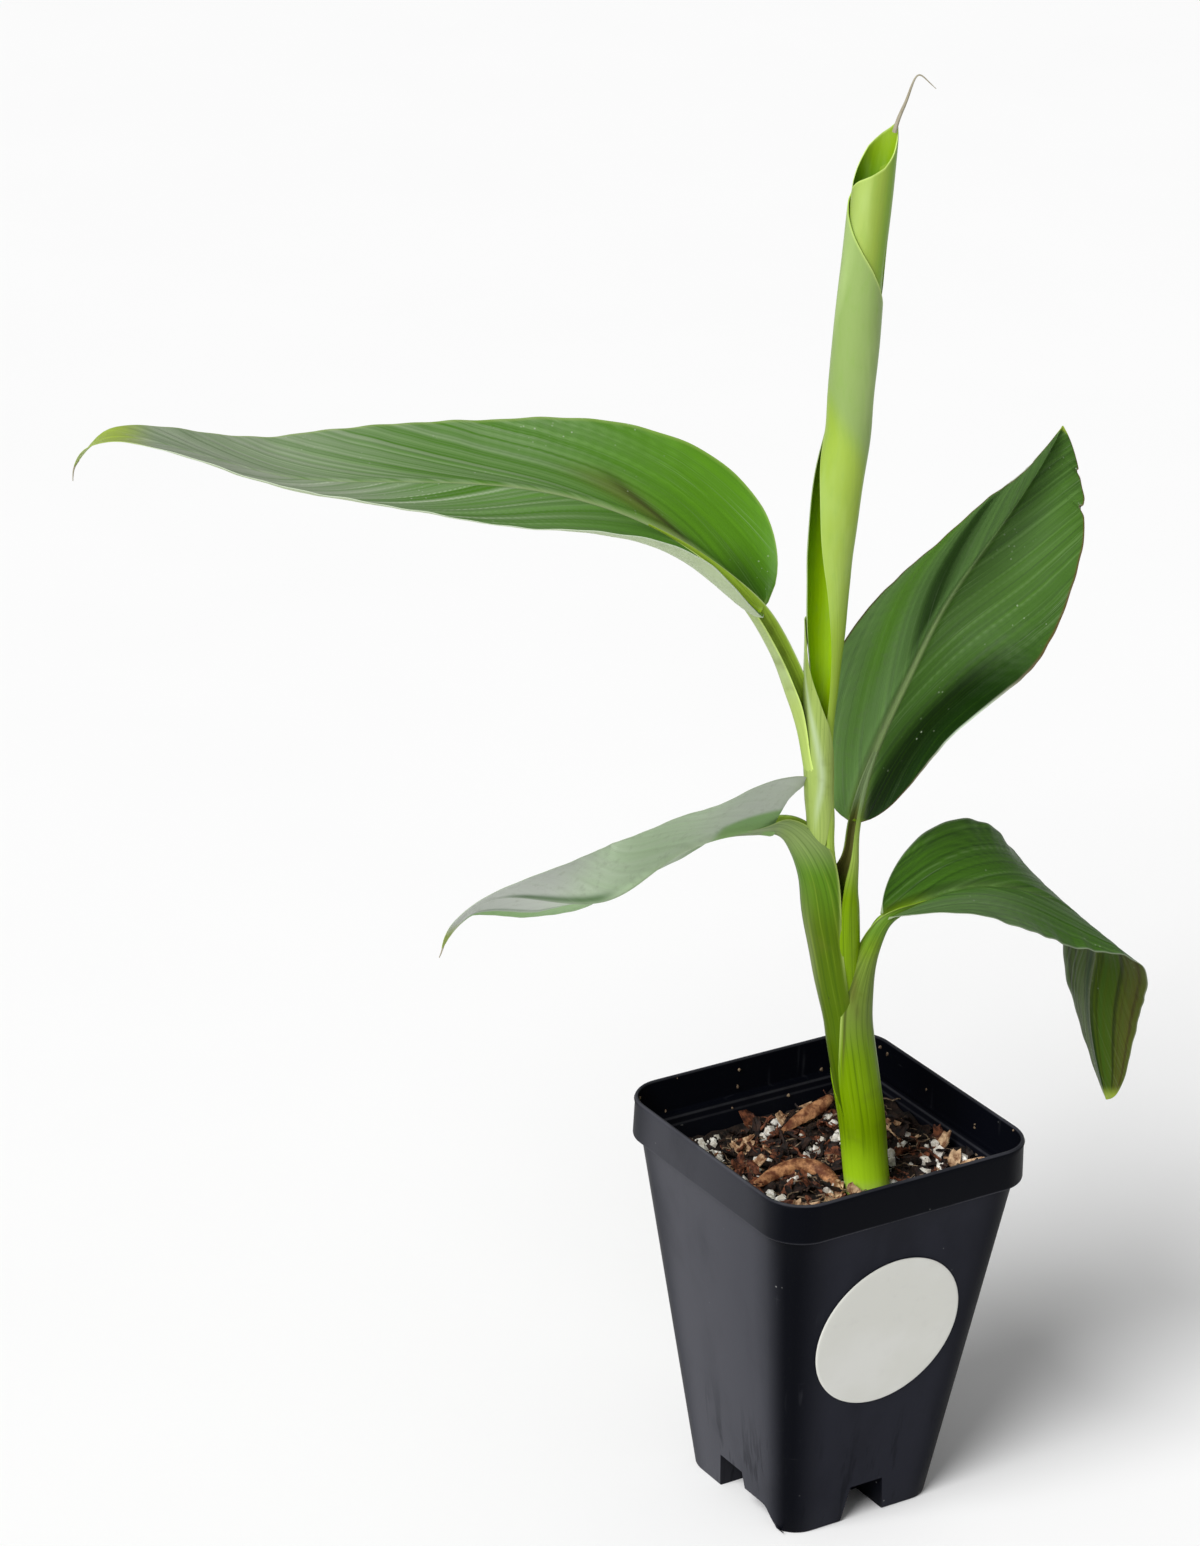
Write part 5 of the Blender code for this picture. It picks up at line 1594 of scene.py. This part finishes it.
def part_of(mesh, keep, name):
    """A copy of the faces of a mesh that keep accepts, by their middles and normals."""
    middles, normals = (np.zeros((len(mesh.polygons), 3), np.float32) for _ in range(2))
    mesh.polygons.foreach_get("center", middles.ravel())
    mesh.polygons.foreach_get("normal", normals.ravel())
    kept = keep(middles.T, normals.T)
    model = bmesh.new()
    model.from_mesh(mesh)
    gone = [face for face, stays in zip(model.faces, kept) if not stays]
    bmesh.ops.delete(model, geom=gone, context="FACES")
    found = bpy.data.meshes.new(name)
    model.to_mesh(found)
    model.free()
    return found


def open_ground(middle, normal):
    x, y, z = middle
    clear = np.hypot(x - STEM_FOOT.x, y - STEM_FOOT.y) > STEM_CLEARANCE
    inside = np.maximum(np.abs(x), np.abs(y)) < body_half(SOIL_TOP) - WALL - 0.004
    return clear & inside & (normal[2] > LEAST_UPWARD) & (z > SOIL_TOP - 0.004)


def inner_wall(middle, normal):
    x, y, z = middle
    inward = x * normal[0] + y * normal[1] < 0
    return inward & (z > SOIL_TOP + 0.002) & (z < POT_HEIGHT - 0.003) & (np.abs(normal[2]) < 0.5)


def cluster(mesh, seed, least):
    """The open ground where two seeded waves together pass a least value."""

    def keep(middle, normal):
        x, y, _ = middle
        lie = waves(x + 0.4 * y, 3, seed, 0.012, 0.04) + waves(y - 0.4 * x, 3, seed + 1, 0.012, 0.04)
        return open_ground(middle, normal) & (lie > least)

    return part_of(mesh, keep, f"ground_{seed}")


def scrap_mesh(name, points, face, half, curl):
    """A dry scrap of old leaf: a strip along points in millimetres, rolled in across its width."""
    rows, columns = 40, 13
    run = np.linspace(0.0, 1.0, rows)[:, None]
    across = np.linspace(-1.0, 1.0, columns)[None, :]
    path = even_curve(points, run[:, 0])
    up, right = (part[:, None] for part in carried_frame(path, face))
    width = half * (0.35 + 0.65 * np.sin(math.pi * run) ** 0.6)
    width = width * (1 + 0.10 * waves(run + 0.3 * (across < 0), 4, 8, 0.05, 0.2))
    bend = curl * across * (0.6 + 0.8 * run)
    side, lift = np.sin(bend) / curl * width, (1 - np.cos(bend)) / curl * width
    grid = path[:, None] + right * side[..., None] - up * lift[..., None]
    grid = grid + up * (0.25 * waves(run * 2 + across * 0.2, 4, 4, 0.08, 0.4))[..., None]
    step = facing(grid) * SCRAP_THICKNESS / 2
    uv = np.stack([across * width * MM, run * np.ones_like(across) * 0.03], axis=-1)
    return grid_skin(name, grid + step, grid - step, uv, np.full((2, rows, columns, 3), 0.5))


class PLANT_OT_soil(bpy.types.Operator):
    """Potting mix with crumbs, bark, white lumps, fibres and a dry scrap of leaf"""

    bl_idname = "plant.soil"
    bl_label = "Potting mix"

    def execute(self, context):
        settings = context.scene.plant_soil
        mesh = soil_mesh(settings)
        mix = earth("potting_mix", settings.mix, (0.026, 0.013, 0.008), 260.0, 0.0012, 0.92)
        own(link("soil_bed", mesh, mix), "potting_mix", "soil")
        ground = part_of(mesh, open_ground, "open_ground")
        tree = scatter_tree()

        skin = earth("crumbs", (0.004, 0.0025, 0.002), (0.045, 0.024, 0.014), 600.0, 0.0003, 0.9)
        crumbs = [lump(f"crumb_{i}", (0.0011, 0.0009, 0.0007), i, 0.35) for i in range(6)]
        strew(tree, "soil_crumbs", ground, crumbs, settings.crumbs, skin, 3, (0.5, 1.5), 1.5)

        for name, (dark, light, share, seed) in BARKS.items():
            skin = earth(name, dark, light, 420.0, 0.0004, 0.72)
            chips = [chip(f"{name}_{i}", seed * 10 + i) for i in range(6)]
            place = ground if name == "bark_dark" else cluster(mesh, seed * 3, -0.25)
            strew(tree, name, place, chips, int(settings.bark * share), skin, seed, (0.45, 2.0), 0.85, 0.0007)

        skin = earth("perlite_skin", (0.55, 0.50, 0.42), (0.90, 0.88, 0.82), 500.0, 0.0004, 0.85)
        lumps = [lump(f"lump_{i}", (0.0017, 0.0013, 0.0011), 40 + i, 0.26) for i in range(6)]
        place = cluster(mesh, 52, 0.05)
        strew(tree, "perlite", place, lumps, settings.perlite, skin, 12, (0.25, 1.75), 1.5, 0.0008)

        pale = earth("fibre_skin", (0.090, 0.055, 0.032), (0.300, 0.220, 0.140), 600.0, 0.0002, 0.8)
        fibres = [twig(f"fibre_{i}", 0.009, 0.00022, 60 + i) for i in range(6)]
        strew(tree, "root_fibres", ground, fibres, settings.fibres, pale, 21, (0.5, 1.4), 0.55, 0.0012)

        skin = bpy.data.materials["bark_red"]
        twigs = [twig(f"twig_{i}", 0.011, 0.00042, 90 + i) for i in range(5)]
        strew(tree, "twigs", ground, twigs, settings.twigs, skin, 27, (0.5, 1.3), 0.9, 0.0012)

        skin = earth("dry_leaf_skin", (0.110, 0.030, 0.010), (0.520, 0.250, 0.110), 260.0, 0.0005, 0.6)
        for name, scrap in SCRAPS.items():
            own(link(name, scrap_mesh(name, *scrap), skin), "potting_mix")

        wall = part_of(bpy.data.objects["pot_shell"].data, inner_wall, "inner_wall")
        specks = [lump(f"speck_{i}", (0.0006, 0.0005, 0.0005), 80 + i, 0.3) for i in range(3)]
        strew(tree, "wall_specks", wall, specks, WALL_SPECKS, pale, 33, (0.5, 1.4), 1.5)
        return {"FINISHED"}


# ---------------------------------------------------------------- plant operators


class PLANT_OT_leaves(bpy.types.Operator):
    """The four open leaves, with midribs and lateral veins"""

    bl_idname = "plant.leaves"
    bl_label = "Open leaves"

    def execute(self, context):
        sizes, colours = context.scene.plant_sizes, context.scene.plant_colours
        skin, tree = leaf_skin(colours), vein_tree()
        for name, leaf in LEAVES.items():
            blade = link(name + "_blade", leaf_mesh(name, leaf, sizes, colours))
            grow(blade, tree, Spacing=sizes.vein_spacing, Depth=sizes.vein_depth, Skin=skin)
            own(blade, "leaf_skin", *LEAF_NODES.get(name, (name,)))
        return {"FINISHED"}


class PLANT_OT_stem(bpy.types.Operator):
    """The stem's wrapped sheaths, each running up into its leaf's stalk"""

    bl_idname = "plant.stem"
    bl_label = "Sheaths and stalks"

    def execute(self, context):
        skin = stem_skin()
        for name, wrap in SHEATHS.items():
            mesh = wrap_mesh(name, wrap, context.scene.plant_colours)
            own(link(name, mesh, skin), "stem_skin", *wrap.nodes)
        return {"FINISHED"}


class PLANT_OT_rolled_leaf(bpy.types.Operator):
    """The furled leaf, wound in layers"""

    bl_idname = "plant.rolled_leaf"
    bl_label = "Furled leaf"

    def execute(self, context):
        skin = new_leaf_skin()
        for name, wrap in ROLLED_LEAF.items():
            mesh = wrap_mesh(name, wrap, context.scene.plant_colours)
            own(link(name, mesh, skin), "new_leaf_skin", *wrap.nodes)
        return {"FINISHED"}


class PLANT_OT_threads(bpy.types.Operator):
    """Dry threads at the leaf tips"""

    bl_idname = "plant.threads"
    bl_label = "Tip threads"

    def execute(self, context):
        skin = thread_skin(context.scene.plant_colours)
        for name, thread in THREADS.items():
            slot = "new_leaf_skin" if name.startswith("rolled") else "leaf_skin"
            own(link(name, thread_mesh(name, *thread), skin), slot)
        return {"FINISHED"}


# ---------------------------------------------------------------- stage

CAMERA_PLACE = (-0.8545, -1.1714, 0.8725)
CAMERA_HEADING = 33.007  # from +Y towards +X
CAMERA_PITCH = 23.096  # down from level
CAMERA_ROLL = 1.8707
CAMERA_NEAREST = 0.05
FLOOR_SIZE = 14.0
KEY_FROM = (-0.72, -0.24, 0.70)
KEY_SOFTNESS = 38.0


class PLANT_OT_stage(bpy.types.Operator):
    """Pale floor, soft light and camera"""

    bl_idname = "plant.stage"
    bl_label = "Stage"

    def execute(self, context):
        settings = context.scene.plant_stage
        bpy.ops.mesh.primitive_plane_add(size=FLOOR_SIZE, location=(0.0, 0.0, 0.0))
        floor = context.active_object
        floor.name = "floor"
        shade = Shade("floor_paint")
        base = shade.mix(settings.floor, (0.94, 0.94, 0.94), shade.noise(6.0))
        floor.data.materials.append(shade.done(base, 0.75))

        world = bpy.data.worlds.new("studio")
        world.use_nodes = True
        background = world.node_tree.nodes["Background"].inputs
        background["Color"].default_value = (1.0, 1.0, 1.0, 1.0)
        background["Strength"].default_value = settings.sky
        context.scene.world = world
        light = bpy.data.lights.new("key", "SUN")
        light.energy = settings.key
        light.angle = math.radians(KEY_SOFTNESS)
        link("key", light).rotation_euler = (-Vector(KEY_FROM)).to_track_quat("-Z", "Y").to_euler()

        camera = bpy.data.cameras.new("camera")
        camera.lens = settings.lens
        camera.clip_start = CAMERA_NEAREST
        upright = Matrix.Rotation(math.radians(-CAMERA_HEADING), 4, "Z")
        tipped = Matrix.Rotation(math.radians(90.0 - CAMERA_PITCH), 4, "X")
        rolled = Matrix.Rotation(math.radians(CAMERA_ROLL), 4, "Z")
        context.scene.camera = link("camera", camera)
        context.scene.camera.matrix_world = Matrix.Translation(CAMERA_PLACE) @ upright @ tipped @ rolled
        context.scene.view_settings.view_transform = "Standard"
        return {"FINISHED"}


class PLANT_PT_builder(bpy.types.Panel):
    """Lists the plant's builders and their settings"""

    bl_idname = "PLANT_PT_builder"
    bl_label = "Potted Banana Plant"
    bl_space_type = "VIEW_3D"
    bl_region_type = "UI"
    bl_category = "Plant"

    def draw(self, context):
        for name, _ in GROUPS:
            box = self.layout.box()
            settings = getattr(context.scene, name)
            for key in type(settings).__annotations__:
                box.prop(settings, key)
        for operator in OPERATORS:
            self.layout.operator(operator.bl_idname)


GROUPS = (
    ("plant_colours", PlantColours),
    ("plant_sizes", PlantSizes),
    ("plant_pot", PotSettings),
    ("plant_soil", SoilSettings),
    ("plant_stage", StageSettings),
)
OPERATORS = (
    PLANT_OT_pot,
    PLANT_OT_label,
    PLANT_OT_soil,
    PLANT_OT_stem,
    PLANT_OT_rolled_leaf,
    PLANT_OT_leaves,
    PLANT_OT_threads,
    PLANT_OT_stage,
)


def register():
    for name, group in GROUPS:
        bpy.utils.register_class(group)
        setattr(bpy.types.Scene, name, bpy.props.PointerProperty(type=group))
    for part in (*OPERATORS, PLANT_PT_builder):
        bpy.utils.register_class(part)


def unregister():
    for part in reversed((*OPERATORS, PLANT_PT_builder)):
        bpy.utils.unregister_class(part)
    for name, group in reversed(GROUPS):
        delattr(bpy.types.Scene, name)
        bpy.utils.unregister_class(group)


def main():
    for obj in [bpy.data.objects.get(name) for name in ("Cube", "Light", "Camera")]:
        if obj:
            bpy.data.objects.remove(obj, do_unlink=True)
    register()
    bpy.ops.plant.pot()
    bpy.ops.plant.label()
    bpy.ops.plant.soil()
    bpy.ops.plant.stem()
    bpy.ops.plant.rolled_leaf()
    bpy.ops.plant.leaves()
    bpy.ops.plant.threads()
    bpy.ops.plant.stage()


if __name__ == "__main__":
    main()
